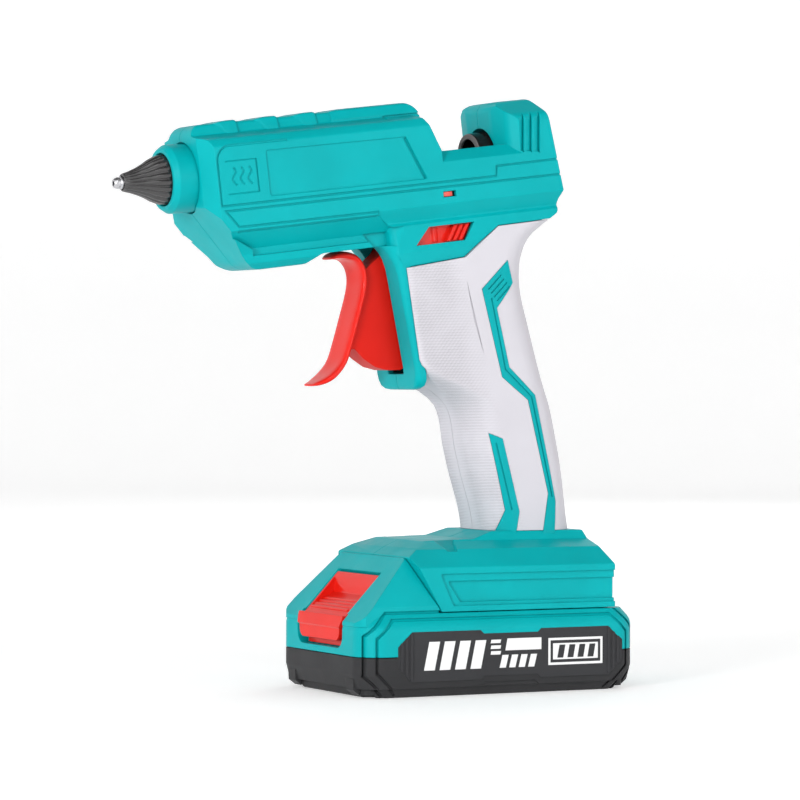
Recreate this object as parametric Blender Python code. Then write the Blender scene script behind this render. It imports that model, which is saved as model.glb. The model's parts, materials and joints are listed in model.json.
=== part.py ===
"""Cordless glue gun that stands on its slide-on battery pack.

Frame: origin at the centre of the pack's underside, +Z up, nozzle towards -X, +X to the rear,
the switch side at -Y. Lengths below are millimetres; to_metres turns them into Blender's units.
Three frames are used: BASE is the world, BARREL follows the housing's nose-down slope with its
origin at the nozzle tip, and FEED follows the glue stick's path from the same point.
"""

import math

import bmesh
import bpy
from mathutils import Matrix, Vector

MM = 0.001
GAP = 0.3

# Driving dimensions
PACK_LENGTH = 116.0
PACK_WIDTH = 72.6
PACK_SPLIT_Z = 15.0
PACK_TOP_Z = 30.4
BARREL_HALF_WIDTH = 21.0
NECK_HALF_WIDTH = 18.0
COLUMN_HALF_WIDTH = 15.0
FOOT_HALF_WIDTH = 33.0
WALL = 2.4
TIP = (-140.4, 0.0, 185.5)
BARREL_TILT = 7.2
FEED_TILT = 5.5
STICK_RADIUS = 5.6
PIVOT = (-30.0, 0.0, 160.0)
PIN_RADIUS = 2.0
PIN_PLAY = 0.08
TRIGGER_ARM = 24.0
SHELF_Z = 172.0
CELL_RADIUS = 9.2
CELL_LENGTH = 65.0
CELL_PITCH = 19.0
SCREW_RADIUS = 1.35
SCREW_HEAD_RADIUS = 2.7


def to_metres(point):
    return Vector(point) * MM


def sloped(tilt):
    """A frame at the nozzle tip whose X axis runs rearward and up by the tilt."""
    return Matrix.Translation(to_metres(TIP)) @ Matrix.Rotation(-math.radians(tilt), 4, "Y")


BASE = Matrix.Identity(4)
BARREL = sloped(BARREL_TILT)
FEED = sloped(FEED_TILT)

COLOURS = {
    "teal": ((0.0, 0.42, 0.46, 1.0), 0.45, 0.0),
    "white": ((0.80, 0.79, 0.86, 1.0), 0.6, 0.0),
    "red": ((0.78, 0.03, 0.02, 1.0), 0.35, 0.0),
    "black": ((0.035, 0.035, 0.038, 1.0), 0.5, 0.0),
    "rubber": ((0.03, 0.03, 0.03, 1.0), 0.75, 0.0),
    "steel": ((0.62, 0.62, 0.64, 1.0), 0.3, 1.0),
    "aluminium": ((0.75, 0.76, 0.78, 1.0), 0.4, 1.0),
    "board": ((0.02, 0.22, 0.08, 1.0), 0.5, 0.0),
    "wrap": ((0.05, 0.25, 0.55, 1.0), 0.4, 0.0),
}


def clear_scene():
    for obj in list(bpy.data.objects):
        bpy.data.objects.remove(obj, do_unlink=True)


def material(name):
    found = bpy.data.materials.get(name)
    if found:
        return found
    colour, roughness, metallic = COLOURS[name]
    made = bpy.data.materials.new(name)
    made.use_nodes = True
    shader = made.node_tree.nodes["Principled BSDF"]
    shader.inputs["Base Color"].default_value = colour
    shader.inputs["Roughness"].default_value = roughness
    shader.inputs["Metallic"].default_value = metallic
    return made


def add_object(name, bm, frame=BASE, colour="teal", cutter=False):
    """Turns a bmesh in millimetres into an object placed by its frame."""
    bmesh.ops.recalc_face_normals(bm, faces=bm.faces)
    bmesh.ops.scale(bm, vec=(MM, MM, MM), verts=bm.verts)
    mesh = bpy.data.meshes.new(name)
    bm.to_mesh(mesh)
    bm.free()
    mesh.materials.append(material(colour))
    mesh.shade_smooth()
    mesh.set_sharp_from_angle(angle=math.radians(35))
    obj = bpy.data.objects.new(name, mesh)
    obj.matrix_world = frame
    bpy.context.collection.objects.link(obj)
    if cutter:
        hide(obj)
    return obj


def hide(obj):
    obj.hide_render = True
    obj.display_type = "WIRE"


def extruded(points, offset):
    """A closed solid from a flat outline of 3-D points, swept by one offset."""
    bm = bmesh.new()
    face = bm.faces.new([bm.verts.new(point) for point in points])
    swept = bmesh.ops.extrude_face_region(bm, geom=[face])
    moved = [item for item in swept["geom"] if isinstance(item, bmesh.types.BMVert)]
    bmesh.ops.translate(bm, vec=offset, verts=moved)
    return bm


def side_prism(name, outline, low_y, high_y, frame=BASE, colour="teal", cutter=False):
    """An outline seen from the side, as (x, z) points, with a thickness across the gun."""
    bm = extruded([(x, low_y, z) for x, z in outline], (0, high_y - low_y, 0))
    return add_object(name, bm, frame, colour, cutter)


def long_prism(name, half_section, start, end, frame=BASE, colour="teal", cutter=False):
    """A mirror-symmetric cross-section, as (y, z) points of one half, run along X."""
    mirrored = [(-y, z) for y, z in reversed(half_section) if y > 0]
    bm = extruded([(start, y, z) for y, z in half_section + mirrored], (end - start, 0, 0))
    return add_object(name, bm, frame, colour, cutter)


def box(name, low, high, frame=BASE, colour="teal", cutter=False):
    outline = [(low[0], low[2]), (high[0], low[2]), (high[0], high[2]), (low[0], high[2])]
    return side_prism(name, outline, low[1], high[1], frame, colour, cutter)


def turned(name, profile, centre=(0, 0, 0), along="X", frame=BASE, colour="steel", steps=24, cutter=False):
    """A closed (distance, radius) profile spun round an axis through the centre."""
    bm = bmesh.new()
    ring = [bm.verts.new((distance, 0, radius)) for distance, radius in profile]
    pairs = [(i, (i + 1) % len(ring)) for i in range(len(ring))]
    edges = [bm.edges.new((ring[i], ring[j])) for i, j in pairs if profile[i][1] or profile[j][1]]
    bmesh.ops.spin(
        bm, geom=ring + edges, cent=(0, 0, 0), axis=(1, 0, 0), angle=math.tau, steps=steps,
        use_duplicate=False, use_merge=True,
    )
    bmesh.ops.remove_doubles(bm, verts=bm.verts, dist=1e-4)
    turns = {"X": BASE, "Y": Matrix.Rotation(math.pi / 2, 4, "Z"), "Z": Matrix.Rotation(-math.pi / 2, 4, "Y")}
    bmesh.ops.transform(bm, matrix=Matrix.Translation(centre) @ turns[along], verts=bm.verts)
    return add_object(name, bm, frame, colour, cutter)


def rod(name, start, end, radius, centre=(0, 0, 0), along="Y", frame=BASE, colour="steel", steps=16,
        cutter=False):
    profile = [(start, 0), (end, 0), (end, radius), (start, radius)]
    return turned(name, profile, centre, along, frame, colour, steps, cutter)


def tube(name, start, end, outer, inner, centre=(0, 0, 0), along="X", frame=BASE, colour="black", steps=24):
    profile = [(start, inner), (end, inner), (end, outer), (start, outer)]
    return turned(name, profile, centre, along, frame, colour, steps)


def combine(target, other, operation):
    """The manifold solver keeps these long chains of cuts closed where the exact one leaves slivers."""
    modifier = target.modifiers.new(other.name, "BOOLEAN")
    modifier.operation = operation
    modifier.solver = "MANIFOLD"
    modifier.object = other
    hide(other)


def cut(target, *others):
    for other in others:
        combine(target, other, "DIFFERENCE")


def join(target, *others):
    for other in others:
        combine(target, other, "UNION")


def rounded(obj, width, segments=1, angle=30):
    bevel = obj.modifiers.new("rounding", "BEVEL")
    bevel.width = width * MM
    bevel.segments = segments
    bevel.limit_method = "ANGLE"
    bevel.angle_limit = math.radians(angle)
    return obj


def loft(name, rings, frame=BASE, colour="teal", cutter=False):
    """Bridges rings of equal length into one closed solid."""
    bm = bmesh.new()
    layers = [[bm.verts.new(point) for point in ring] for ring in rings]
    count = len(rings[0])
    for lower, upper in zip(layers, layers[1:]):
        for i in range(count):
            j = (i + 1) % count
            bm.faces.new((lower[i], lower[j], upper[j], upper[i]))
    bm.faces.new(layers[0])
    bm.faces.new(layers[-1])
    return add_object(name, bm, frame, colour, cutter)


def rounded_ring(x_front, x_rear, half_width, radius, z, per_corner=3):
    """A horizontal rounded rectangle, as points going once round."""
    corners = (
        (x_rear - radius, half_width - radius, 0),
        (x_front + radius, half_width - radius, 90),
        (x_front + radius, -half_width + radius, 180),
        (x_rear - radius, -half_width + radius, 270),
    )
    points = []
    for x, y, start in corners:
        for step in range(per_corner + 1):
            angle = math.radians(start + 90 * step / per_corner)
            points.append((x + radius * math.cos(angle), y + radius * math.sin(angle), z))
    return points


# The handle's side outline: height, front edge, rear edge
HANDLE_STATIONS = (
    (56.0, 6.4, 42.4),
    (66.0, 5.0, 40.8),
    (80.0, 0.8, 39.0),
    (90.0, -1.8, 37.2),
    (105.0, -5.2, 33.8),
    (112.0, -13.0, 31.4),
    (118.0, -24.0, 29.4),
    (134.0, -27.4, 24.8),
    (148.0, -30.0, 21.0),
    (156.0, -31.6, 20.4),
    (163.0, -33.0, 21.4),
    (170.0, -34.4, 25.2),
    (176.0, -35.6, 33.0),
)


def handle_body(name, inset, colour="teal", cutter=False):
    rings = []
    for z, front, rear in HANDLE_STATIONS:
        rings.append(
            rounded_ring(front + inset, rear - inset, NECK_HALF_WIDTH - inset, 11.5 - inset, z)
        )
    return loft(name, rings, BASE, colour, cutter)


# Barrel cross-sections, one half each, as (y, height above the barrel line)
FRONT_SECTION = [
    (0, 13.8), (9, 13.8), (19.5, 11.2), (BARREL_HALF_WIDTH, 9.4), (BARREL_HALF_WIDTH, -21.6),
    (12.5, -28.7), (13.5, -34.0), (10.5, -36.6), (0, -36.6),
]
REAR_SECTION = [
    (0, 15.1), (10.8, 15.1), (BARREL_HALF_WIDTH, 9.2), (BARREL_HALF_WIDTH, -20.6),
    (NECK_HALF_WIDTH, -26.0), (NECK_HALF_WIDTH, -48.0), (0, -48.0),
]
NOTCH_SECTION = [
    (0, -1.0), (17.0, -1.0), (BARREL_HALF_WIDTH, -5.2), (BARREL_HALF_WIDTH, -20.6),
    (NECK_HALF_WIDTH, -26.0), (NECK_HALF_WIDTH, -48.0), (0, -48.0),
]
FRONT_HOLLOW = [
    (0, 11.4), (8, 11.4), (18.6, 8.4), (18.6, -20.4), (10.2, -27.2), (10.2, -33.8), (0, -33.8),
]
REAR_HOLLOW = [
    (0, 12.4), (9.8, 12.4), (18.6, 7.6), (18.6, -19.6), (15.5, -25.2), (15.5, -42.0), (0, -42.0),
]

NOSE_S = 27.3
NOSE_WALL_S = 34.5
NOTCH_S = 122.5
TOWER_S = 153.5


# Upper edge of the grip covers, front to rear, in the world
COVER_TOP = [(-31.3, 156.6), (-6.9, 161.0), (6.9, 172.9), (27.4, 175.7), (50.0, 178.8)]
# Front edge of the grip covers beside the trigger column
COVER_FRONT = [(-23.4, 118.0), (-21.0, 105.0), (-21.0, 59.3)]


def barrel_solid():
    """The whole outer shape of the barrel: nose, spine, sight notch and rear tower."""
    front = long_prism("barrel_front", FRONT_SECTION, NOSE_S, 104.0, BARREL)
    nose = [(NOSE_S, -14.5), (NOSE_S, 13.0), (31.0, 20.0), (110.0, 20.0), (110.0, -33.4),
            (72.5, -33.4), (63.9, -38.0), (42.5, -38.0)]
    combine(front, side_prism("nose_outline", nose, -40, 40, BARREL, cutter=True), "INTERSECT")
    taper = extruded(
        [(NOSE_S, 13.5, -60), (34.0, 24.0, -60), (130.0, 24.0, -60),
         (130.0, -24.0, -60), (34.0, -24.0, -60), (NOSE_S, -13.5, -60)],
        (0, 0, 120),
    )
    combine(front, add_object("nose_plan", taper, BARREL, cutter=True), "INTERSECT")
    spine = [(0, 18.0), (7.0, 18.0), (9.0, 15.8), (9.0, 9.0), (0, 9.0)]
    middle = long_prism("barrel_middle", FRONT_SECTION[:5] + REAR_SECTION[4:], 94.0, 123.6, BARREL)
    shoulder = [(90.0, 20.0), (117.4, 12.0), (NOTCH_S, -1.0), (NOTCH_S, -46.0), (100.0, -46.0),
                (100.0, -33.4), (90.0, -33.4)]
    combine(middle, side_prism("shoulder_outline", shoulder, -40, 40, BARREL, cutter=True), "INTERSECT")
    notch = long_prism("barrel_notch", NOTCH_SECTION, 121.0, 156.0, BARREL)
    tower = long_prism("barrel_tower", REAR_SECTION, TOWER_S, 176.0, BARREL)
    rear = [(150.0, 20.0), (163.6, 20.0), (168.0, 10.0), (172.3, -20.6), (171.0, -24.0),
            (170.6, -27.5), (166.0, -31.0), (150.0, -46.0)]
    combine(tower, side_prism("rear_outline", rear, -40, 40, BARREL, cutter=True), "INTERSECT")
    join(front, long_prism("spine", spine, 31.0, 120.8, BARREL), middle, notch, tower)
    below = [(x, z + GAP) for x, z in COVER_TOP] + [(50.0, 100.0), (COVER_TOP[0][0], 100.0)]
    cut(front, side_prism("under_neck", below, -40, 40, cutter=True))
    return front


def column_solid(grow=0.0):
    """The flat-fronted box in front of the grip that the trigger web runs into."""
    rings = []
    for z, front in ((112.0 - grow, -21.0), (114.5, -24.6), (118.0, -26.8), (164.0, -36.0)):
        rings.append(rounded_ring(front - grow, 10.0, COLUMN_HALF_WIDTH + grow, 4.0, z, 2))
    return loft("column", rings)


def foot_solid():
    """The flared foot that takes the pack's rail."""
    section = [
        (0, 64.0), (16.0, 64.0), (17.6, 59.0), (19.0, 56.4), (26.0, 53.5),
        (FOOT_HALF_WIDTH, 46.6), (FOOT_HALF_WIDTH, 31.6), (0, 31.6),
    ]
    foot = long_prism("foot", section, -40.0, 60.0)
    outline = [(-24.6, 31.0), (-35.6, 50.6), (-30.0, 53.4), (-24.0, 56.0), (-2.0, 56.4), (4.0, 59.0),
               (43.6, 59.0), (44.6, 55.4), (49.0, 46.0), (49.0, 31.0)]
    combine(foot, side_prism("foot_outline", outline, -40, 40, cutter=True), "INTERSECT")
    return foot


# Screws through both housing halves: x and z in the world, and how far the bosses reach sideways
HOUSING_SCREWS = {
    "nose_screw": (-92.5, 163.5, 12.0),
    "barrel_screw": (-56.0, 169.5, 12.0),
    "tower_screw": (17.5, 215.2, 12.0),
    "neck_screw": (22.0, 184.0, 17.4),
    "grip_screw": (6.0, 147.0, 15.4),
    "handle_screw": (22.0, 82.0, 15.4),
    "foot_screw": (-14.0, 51.0, 15.4),
}
HEAD_SEAT_Y = 8.0


def barrel_cavities():
    front = long_prism("front_hollow", FRONT_HOLLOW, NOSE_WALL_S, 112.0, BARREL, cutter=True)
    outline = [(NOSE_WALL_S, -18.4), (NOSE_WALL_S, 12.0), (112.0, 12.0), (112.0, -31.0), (69.5, -31.0),
               (64.0, -33.9), (45.2, -33.9)]
    combine(front, side_prism("front_hollow_outline", outline, -30, 30, BARREL, cutter=True), "INTERSECT")
    middle = long_prism("middle_hollow", FRONT_HOLLOW[:4] + REAR_HOLLOW[4:], 96.0, 120.4, BARREL, cutter=True)
    trough = box("notch_hollow", (112.0, -14.5, -24.0), (TOWER_S - 1, 14.5, 4.0), BARREL, cutter=True)
    under = box("notch_under", (112.0, -15.5, -42.0), (TOWER_S + 8, 15.5, -22.0), BARREL, cutter=True)
    tower = long_prism("tower_hollow", REAR_HOLLOW, TOWER_S + WALL, 167.0, BARREL, cutter=True)
    inner_rear = [(150.0, 13.0), (162.0, 13.0), (165.6, 8.0), (168.6, -19.0), (167.0, -24.0), (163.0, -30.0),
                  (150.0, -42.0)]
    combine(tower, side_prism("tower_hollow_outline", inner_rear, -30, 30, BARREL, cutter=True), "INTERSECT")
    return front, middle, trough, under, tower


def handle_cavities():
    rings = []
    for z, front, rear in HANDLE_STATIONS:
        rings.append(rounded_ring(front + 5.4, rear - 4.8, NECK_HALF_WIDTH - 4.6, 6.0, z, 2))
    grip = loft("grip_hollow", rings, cutter=True)
    column = [(-33.4, 164.0), (-24.2, 118.0), (-20.0, 115.0), (0.0, 115.0), (0.0, 164.0)]
    room = side_prism("column_hollow", column, -12.6, 12.6, cutter=True)
    slot = side_prism("trigger_slot", [(-45, 168), (-45, 116), (-15, 116), (-15, 168)], -6.2, 6.2,
                      cutter=True)
    mouth = box("arm_slot", (-45.0, -9.0, 155.0), (-22.0, 9.0, 172.0), cutter=True)
    return grip, room, slot, mouth


def foot_cavities():
    """The rail channel: a neck that opens below and a wider head above it."""
    neck = box("rail_neck", (-45.0, -19.2, 25.0), (43.0, 19.2, 38.0), cutter=True)
    head = box("rail_head", (-45.0, -23.2, 36.0), (43.0, 23.2, 44.4), cutter=True)
    upper = box("foot_upper", (7.0, -12.0, 43.0), (36.0, 12.0, 62.0), cutter=True)
    return neck, head, upper


def housing_outer():
    outer = barrel_solid()
    join(outer, handle_body("handle_core", 2.3), column_solid(), foot_solid())
    return outer


def screw_boss(side, name, x, z, reach):
    """A post that reaches from the joint plane to the wall."""
    near, far = sorted((side * GAP / 2, side * reach))
    return rod(f"{name}_boss_{side}", near, far, 4.2, (x, 0, z), "Y", steps=12, cutter=True)


def housing_half(name, side):
    """One moulding: the outer shape cut to its side, hollowed, with bosses and bores."""
    half = housing_outer()
    half.name = name
    keep = sorted((side * GAP / 2, side * 60.0))
    combine(half, box(f"{name}_side", (-200, keep[0], 0), (100, keep[1], 300), cutter=True), "INTERSECT")
    cut(half, *barrel_cavities(), *handle_cavities(), *foot_cavities())
    cut(half, rod(f"{name}_nose_bore", 20.0, 39.0, 13.0, (0, 0, 0), "X", FEED, steps=24, cutter=True))
    cut(half, rod(f"{name}_rear_bore", 148.0, 180.0, 10.4, (0, 0, 0), "X", FEED, steps=24, cutter=True))
    for screw, (x, z, reach) in HOUSING_SCREWS.items():
        join(half, screw_boss(side, screw, x, z, reach))
        low, high = sorted((-side * 0.5, side * 11.0))
        cut(half, rod(f"{screw}_hole_{side}", low, high, SCREW_RADIUS + GAP, (x, 0, z), "Y", steps=12,
                      cutter=True))
        if side > 0:
            cut(half, rod(f"{screw}_seat", HEAD_SEAT_Y, 45.0, SCREW_HEAD_RADIUS + GAP, (x, 0, z), "Y",
                          steps=12,
                          cutter=True))
    add_pivot_boss(half, side)
    if side > 0:
        join(half, box("spring_shelf", (-25.4, -4.4, SHELF_Z), (-14.6, 16.0, SHELF_Z + WALL), cutter=True))
    return half


def add_pivot_boss(half, side):
    """The socket that holds one end of the trigger's pin."""
    low, high = sorted((side * 6.6, side * 14.6))
    join(half, rod(f"pivot_boss_{side}", low, high, 4.4, PIVOT, "Y", steps=16, cutter=True))
    low, high = sorted((side * 6.0, side * 12.4))
    cut(half, rod(f"pivot_hole_{side}", low, high, PIN_RADIUS + GAP, PIVOT, "Y", steps=16, cutter=True))


def grip_cover(name, side):
    """A white shell over one side of the handle core, up to the trigger column."""
    cover = handle_body(name, 0.0, "white")
    outline = COVER_TOP + [(60.0, 59.3)] + list(reversed(COVER_FRONT))
    keep = sorted((side * GAP / 2, side * 40.0))
    region = side_prism(f"{name}_region", outline, keep[0], keep[1], cutter=True)
    combine(cover, region, "INTERSECT")
    cut(cover, handle_body(f"{name}_core", 2.0, cutter=True), column_solid(GAP))
    if side > 0:
        for screw in ("grip_screw", "handle_screw"):
            x, z, _ = HOUSING_SCREWS[screw]
            cut(cover, rod(f"{name}_{screw}", 8.0, 40.0, 3.4, (x, 0, z), "Y", steps=12, cutter=True))
    return cover


def housing_screw(name, x, z):
    """A pan-head screw driven from the right side."""
    profile = [(-9.5, 0), (-9.5, 0.6), (-8.6, SCREW_RADIUS), (8.4, SCREW_RADIUS), (8.4, SCREW_HEAD_RADIUS),
               (9.6, SCREW_HEAD_RADIUS), (10.4, 1.8), (10.4, 0)]
    return turned(name, profile, (x, 0, z), "Y", steps=12)


# Nozzle, collar and melt chamber, in the feed frame
def nozzle_parts():
    tip = [(-0.5, 0.9), (-0.5, 1.9), (0.6, 2.6), (2.6, 2.9), (3.6, 2.5), (14.0, 4.6), (14.0, 5.6),
           (17.0, 5.6),
           (17.0, 4.2), (24.0, 4.2), (24.0, 2.6), (9.0, 2.6), (6.0, 0.9)]
    turned("nozzle_tip", tip, frame=FEED, colour="steel", steps=20)
    sleeve = [(3.0, 3.1), (8.6, 5.0), (13.0, 7.4), (18.4, 9.2), (23.6, 9.2), (23.6, 6.2), (13.8, 6.2),
              (13.4, 5.0),
              (3.9, 2.95)]
    turned("nozzle_sleeve", sleeve, frame=FEED, colour="rubber", steps=24)
    profile = [(18.4, 9.6), (18.4, 11.0), (20.2, 12.5), (38.0, 12.5), (38.0, 9.6)]
    collar = turned("front_collar", profile, frame=FEED, colour="teal", steps=28)
    for side in (-1, 1):
        low, high = sorted((side * 10.6, side * 15.6))
        join(collar, box(f"collar_lug_{side}", (36.0, low, -5.0), (38.0, high, 5.0), FEED, cutter=True))


def helix(name, start, end, radius, wire, turns, per_turn=10, sides=4):
    """A coil spring from one centre point to another, its wire given by its radius."""
    axis = Vector(end) - Vector(start)
    along = axis.normalized()
    across = along.orthogonal().normalized()
    third = along.cross(across)
    steps = turns * per_turn
    rings = []
    for step in range(steps + 1):
        angle = math.tau * step / per_turn
        outward = across * math.cos(angle) + third * math.sin(angle)
        middle = Vector(start) + along * (wire + (axis.length - 2 * wire) * step / steps) + outward * radius
        ring = []
        for side in range(sides):
            turn = math.tau * side / sides
            ring.append(middle + wire * (math.cos(turn) * outward + math.sin(turn) * along))
        rings.append(ring)
    return loft(name, rings, BASE, "steel")


def heater_parts():
    chamber = [(24.6, 4.8), (24.6, 6.6), (30.0, 8.6), (78.0, 8.6), (78.0, 6.0), (60.0, 5.9), (31.0, 4.8)]
    body = turned("melt_chamber", chamber, frame=FEED, colour="aluminium", steps=20)
    saddle = box("chamber_saddle", (38.0, -7.0, -11.0), (66.0, 7.0, -4.0), FEED, "aluminium", cutter=True)
    join(body, saddle)
    cut(body, rod("chamber_bore", 20.0, 90.0, 5.0, along="X", frame=FEED, steps=20, cutter=True))
    box("heater_plate", (42.0, -6.5, -13.6), (62.0, 6.5, -11.3), FEED, "white")
    clip = box("heater_clip", (46.0, -11.0, -15.2), (58.0, 11.0, 10.6), FEED, "steel")
    cut(clip, box("clip_inside", (40.0, -9.8, -13.9), (64.0, 9.8, 9.4), FEED, cutter=True),
        box("clip_gap", (40.0, -4.0, 8.0), (64.0, 4.0, 14.0), FEED, cutter=True))
    tube("stick_seal", 78.4, 94.0, 8.2, 5.9, frame=FEED, colour="rubber", steps=20)


def guide_tube():
    profile = [(144.8, 6.6), (144.8, 8.6), (153.0, 9.3), (172.4, 9.7), (172.4, 6.6)]
    turned("rear_guide_tube", profile, frame=FEED, colour="black", steps=28)


def pivot_frame():
    """The trigger's hinge: its Y axis is the pin."""
    return Matrix.Translation(to_metres(PIVOT))


BLADE_MIDDLE = [
    (-25.2, 0.6), (-21.6, 0.9), (-17.0, -0.2), (-14.0, -3.2), (-13.0, -7.6), (-13.8, -13.0), (-16.6, -22.0),
    (-19.4, -31.6), (-21.8, -38.6), (-25.4, -43.0), (-32.6, -46.4),
]
BLADE_HALF_WIDTH = 7.5
BLADE_HALF_THICKNESS = 1.5
LINK_RADIUS = 1.5


def strip_outline(middle, half_thickness):
    """The side outline of a bent strip of even thickness with pointed ends."""
    front, back = [], []
    for i in range(1, len(middle) - 1):
        ahead = Vector(middle[i + 1]) - Vector(middle[i - 1])
        normal = Vector((-ahead.y, ahead.x)).normalized() * half_thickness
        front.append(tuple(Vector(middle[i]) + normal))
        back.append(tuple(Vector(middle[i]) - normal))
    return [middle[0]] + front + [middle[-1]] + list(reversed(back))


def trigger_parts():
    """The lever: finger blade, web, hub and the arm that drives the feed carriage."""
    frame = pivot_frame()
    lever = side_prism("trigger", strip_outline(BLADE_MIDDLE, BLADE_HALF_THICKNESS), -BLADE_HALF_WIDTH,
                       BLADE_HALF_WIDTH, frame, "red")
    web = [(-12.2, -4.6), (-4.0, 3.0), (4.2, 3.0), (6.6, -38.0), (2.6, -40.6), (-3.0, -40.8), (-8.0, -39.6),
           (-12.6, -36.6), (-16.4, -33.0), (-19.6, -33.6), (-16.6, -23.0), (-13.6, -12.0)]
    join(lever, side_prism("web", web, -5.0, 5.0, frame, cutter=True))
    join(lever, rod("hub", -6.0, 6.0, 5.2, frame=frame, steps=16, cutter=True))
    arm = [(-4.0, 0.0), (4.0, 0.0), (3.6, TRIGGER_ARM), (2.0, TRIGGER_ARM + 2.6), (-2.0, TRIGGER_ARM + 2.6),
           (-3.6, TRIGGER_ARM)]
    tail = [(1.0, 3.4), (15.0, 1.2), (15.0, -1.4), (1.0, -3.4)]
    join(lever, side_prism("arm", arm, -2.6, 2.6, frame, cutter=True),
         side_prism("tail", tail, -4.5, 4.5, frame, cutter=True))
    cut(lever, rod("hub_bore", -10.0, 10.0, PIN_RADIUS + PIN_PLAY, frame=frame, steps=16, cutter=True))
    link = (0, 0, TRIGGER_ARM)
    cut(lever, rod("link_bore", -5.0, 5.0, LINK_RADIUS + GAP, link, frame=frame, steps=12, cutter=True))
    rod("link_pin", -6.4, 6.4, LINK_RADIUS, link, frame=frame, steps=12)
    rod("trigger_pivot_pin", -11.8, 11.8, PIN_RADIUS, frame=frame, steps=16)
    x = PIVOT[0] + 10.0
    helix("trigger_spring", (x, 0, PIVOT[2] + 2.4), (x, 0, SHELF_Z - GAP), 2.8, 0.5, 4)


CARRIAGE_A = 109.7
LINK_W = -12.1
JAW_PIN = (CARRIAGE_A + 2.4, 0.0, 11.6)
JAW_PIN_RADIUS = 0.8


def carriage_parts():
    """The ring that grips the stick, its two slotted legs, and the biting jaw above it."""
    ring = tube("feed_carriage", CARRIAGE_A - 5.0, CARRIAGE_A + 5.5, 8.8, STICK_RADIUS + 0.9, frame=FEED,
                steps=20)
    for side in (-1, 1):
        low, high = sorted((side * 3.2, side * 5.6))
        leg = box(f"leg_{side}", (CARRIAGE_A - 4.6, low, LINK_W - 4.4), (CARRIAGE_A + 4.6, high, -6.4), FEED,
                  cutter=True)
        join(ring, leg)
    cut(ring, box("link_slot", (CARRIAGE_A - 1.9, -9.0, LINK_W - 6.0), (CARRIAGE_A + 1.9, 9.0, LINK_W + 3.0),
                  FEED, cutter=True))
    for side in (-1, 1):
        low, high = sorted((side * 3.0, side * 5.0))
        join(ring, box(f"ear_{side}", (CARRIAGE_A - 1.0, low, 6.4), (CARRIAGE_A + 5.0, high, 13.6), FEED,
                       cutter=True))
    cut(ring, box("jaw_window", (CARRIAGE_A - 4.0, -2.7, 4.0), (CARRIAGE_A + 9.0, 2.7, 15.0), FEED,
                  cutter=True))
    cut(ring, rod("jaw_pin_bore", -7.0, 7.0, JAW_PIN_RADIUS + GAP, JAW_PIN, "Y", FEED, steps=12, cutter=True))
    x, _, w = JAW_PIN
    outline = [(x - 5.6, w - 3.6), (x - 5.2, w - 4.4), (x - 3.0, w - 2.6), (x + 1.8, w - 2.2),
               (x + 1.8, w + 1.8),
               (x - 2.0, w + 1.8)]
    jaw = side_prism("clamp_jaw", outline, -2.2, 2.2, FEED, "steel")
    cut(jaw, rod("jaw_bore", -5.0, 5.0, JAW_PIN_RADIUS + PIN_PLAY, JAW_PIN, "Y", FEED, steps=12, cutter=True))
    rod("jaw_pin", -4.8, 4.8, JAW_PIN_RADIUS, JAW_PIN, "Y", FEED, steps=12)


def electric_parts():
    box("control_board", (5.0, 4.0, 94.0), (18.0, 5.6, 130.0), colour="board")
    body = box("slide_switch_body", (113.0, -12.4, -36.0), (131.0, -7.4, -27.4), BARREL, "black")
    rounded(body, 0.6)
    knob_parts()
    rod("indicator_lens", -21.2, -17.6, 1.9, (123.8, 0, -17.0), "Y", BARREL, "red", steps=16)
    rod("indicator_lamp", -17.2, -13.0, 1.5, (123.8, 0, -17.0), "Y", BARREL, "white", steps=12)
    block = box("terminal_block", (8.0, -11.4, 44.8), (35.0, 11.4, 51.6), colour="black")
    for index, side in enumerate((-1, 1), start=1):
        centre = side * BLADE_Y
        cut(block, box(f"blade_seat_{index}", (15.0, centre - 0.9, 44.0), (33.0, centre + 0.9, 49.0),
                       cutter=True))
        box(f"contact_blade_{index}", (16.0, centre - 0.4, 39.6), (32.0, centre + 0.4, 48.4), colour="steel")


SWITCH_S = 122.0
SWITCH_V = -31.5


def knob_parts():
    """The sliding knob: a plate behind the window with a ribbed thumb block at its rear."""
    plate = [(SWITCH_S - 13.2, SWITCH_V - 4.6), (SWITCH_S + 17.6, SWITCH_V - 4.6),
             (SWITCH_S + 17.6, SWITCH_V + 4.6), (SWITCH_S - 13.2, SWITCH_V + 4.6)]
    knob = side_prism("power_switch_knob", plate, -15.2, -13.4, BARREL, "red")
    block = [(SWITCH_S - 1.4, SWITCH_V - 2.7), (SWITCH_S + 7.4, SWITCH_V - 2.7),
             (SWITCH_S + 11.0, SWITCH_V + 2.7), (SWITCH_S + 2.2, SWITCH_V + 2.7)]
    join(knob, side_prism("thumb_block", block, -18.2, -14.0, BARREL, cutter=True))
    for rib in range(2):
        centre = SWITCH_S + 0.6 + rib * 2.8
        groove = [(centre - 0.4, SWITCH_V - 4.0), (centre + 0.4, SWITCH_V - 4.0),
                  (centre + 5.7, SWITCH_V + 4.0),
                  (centre + 4.9, SWITCH_V + 4.0)]
        cut(knob, side_prism(f"knob_groove_{rib}", groove, -20.0, -17.4, BARREL, cutter=True))
    join(knob, box("knob_tail", (SWITCH_S - 1.5, -14.0, SWITCH_V - 1.5),
                   (SWITCH_S + 1.5, -12.7, SWITCH_V + 1.5),
                   BARREL, cutter=True))


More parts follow.
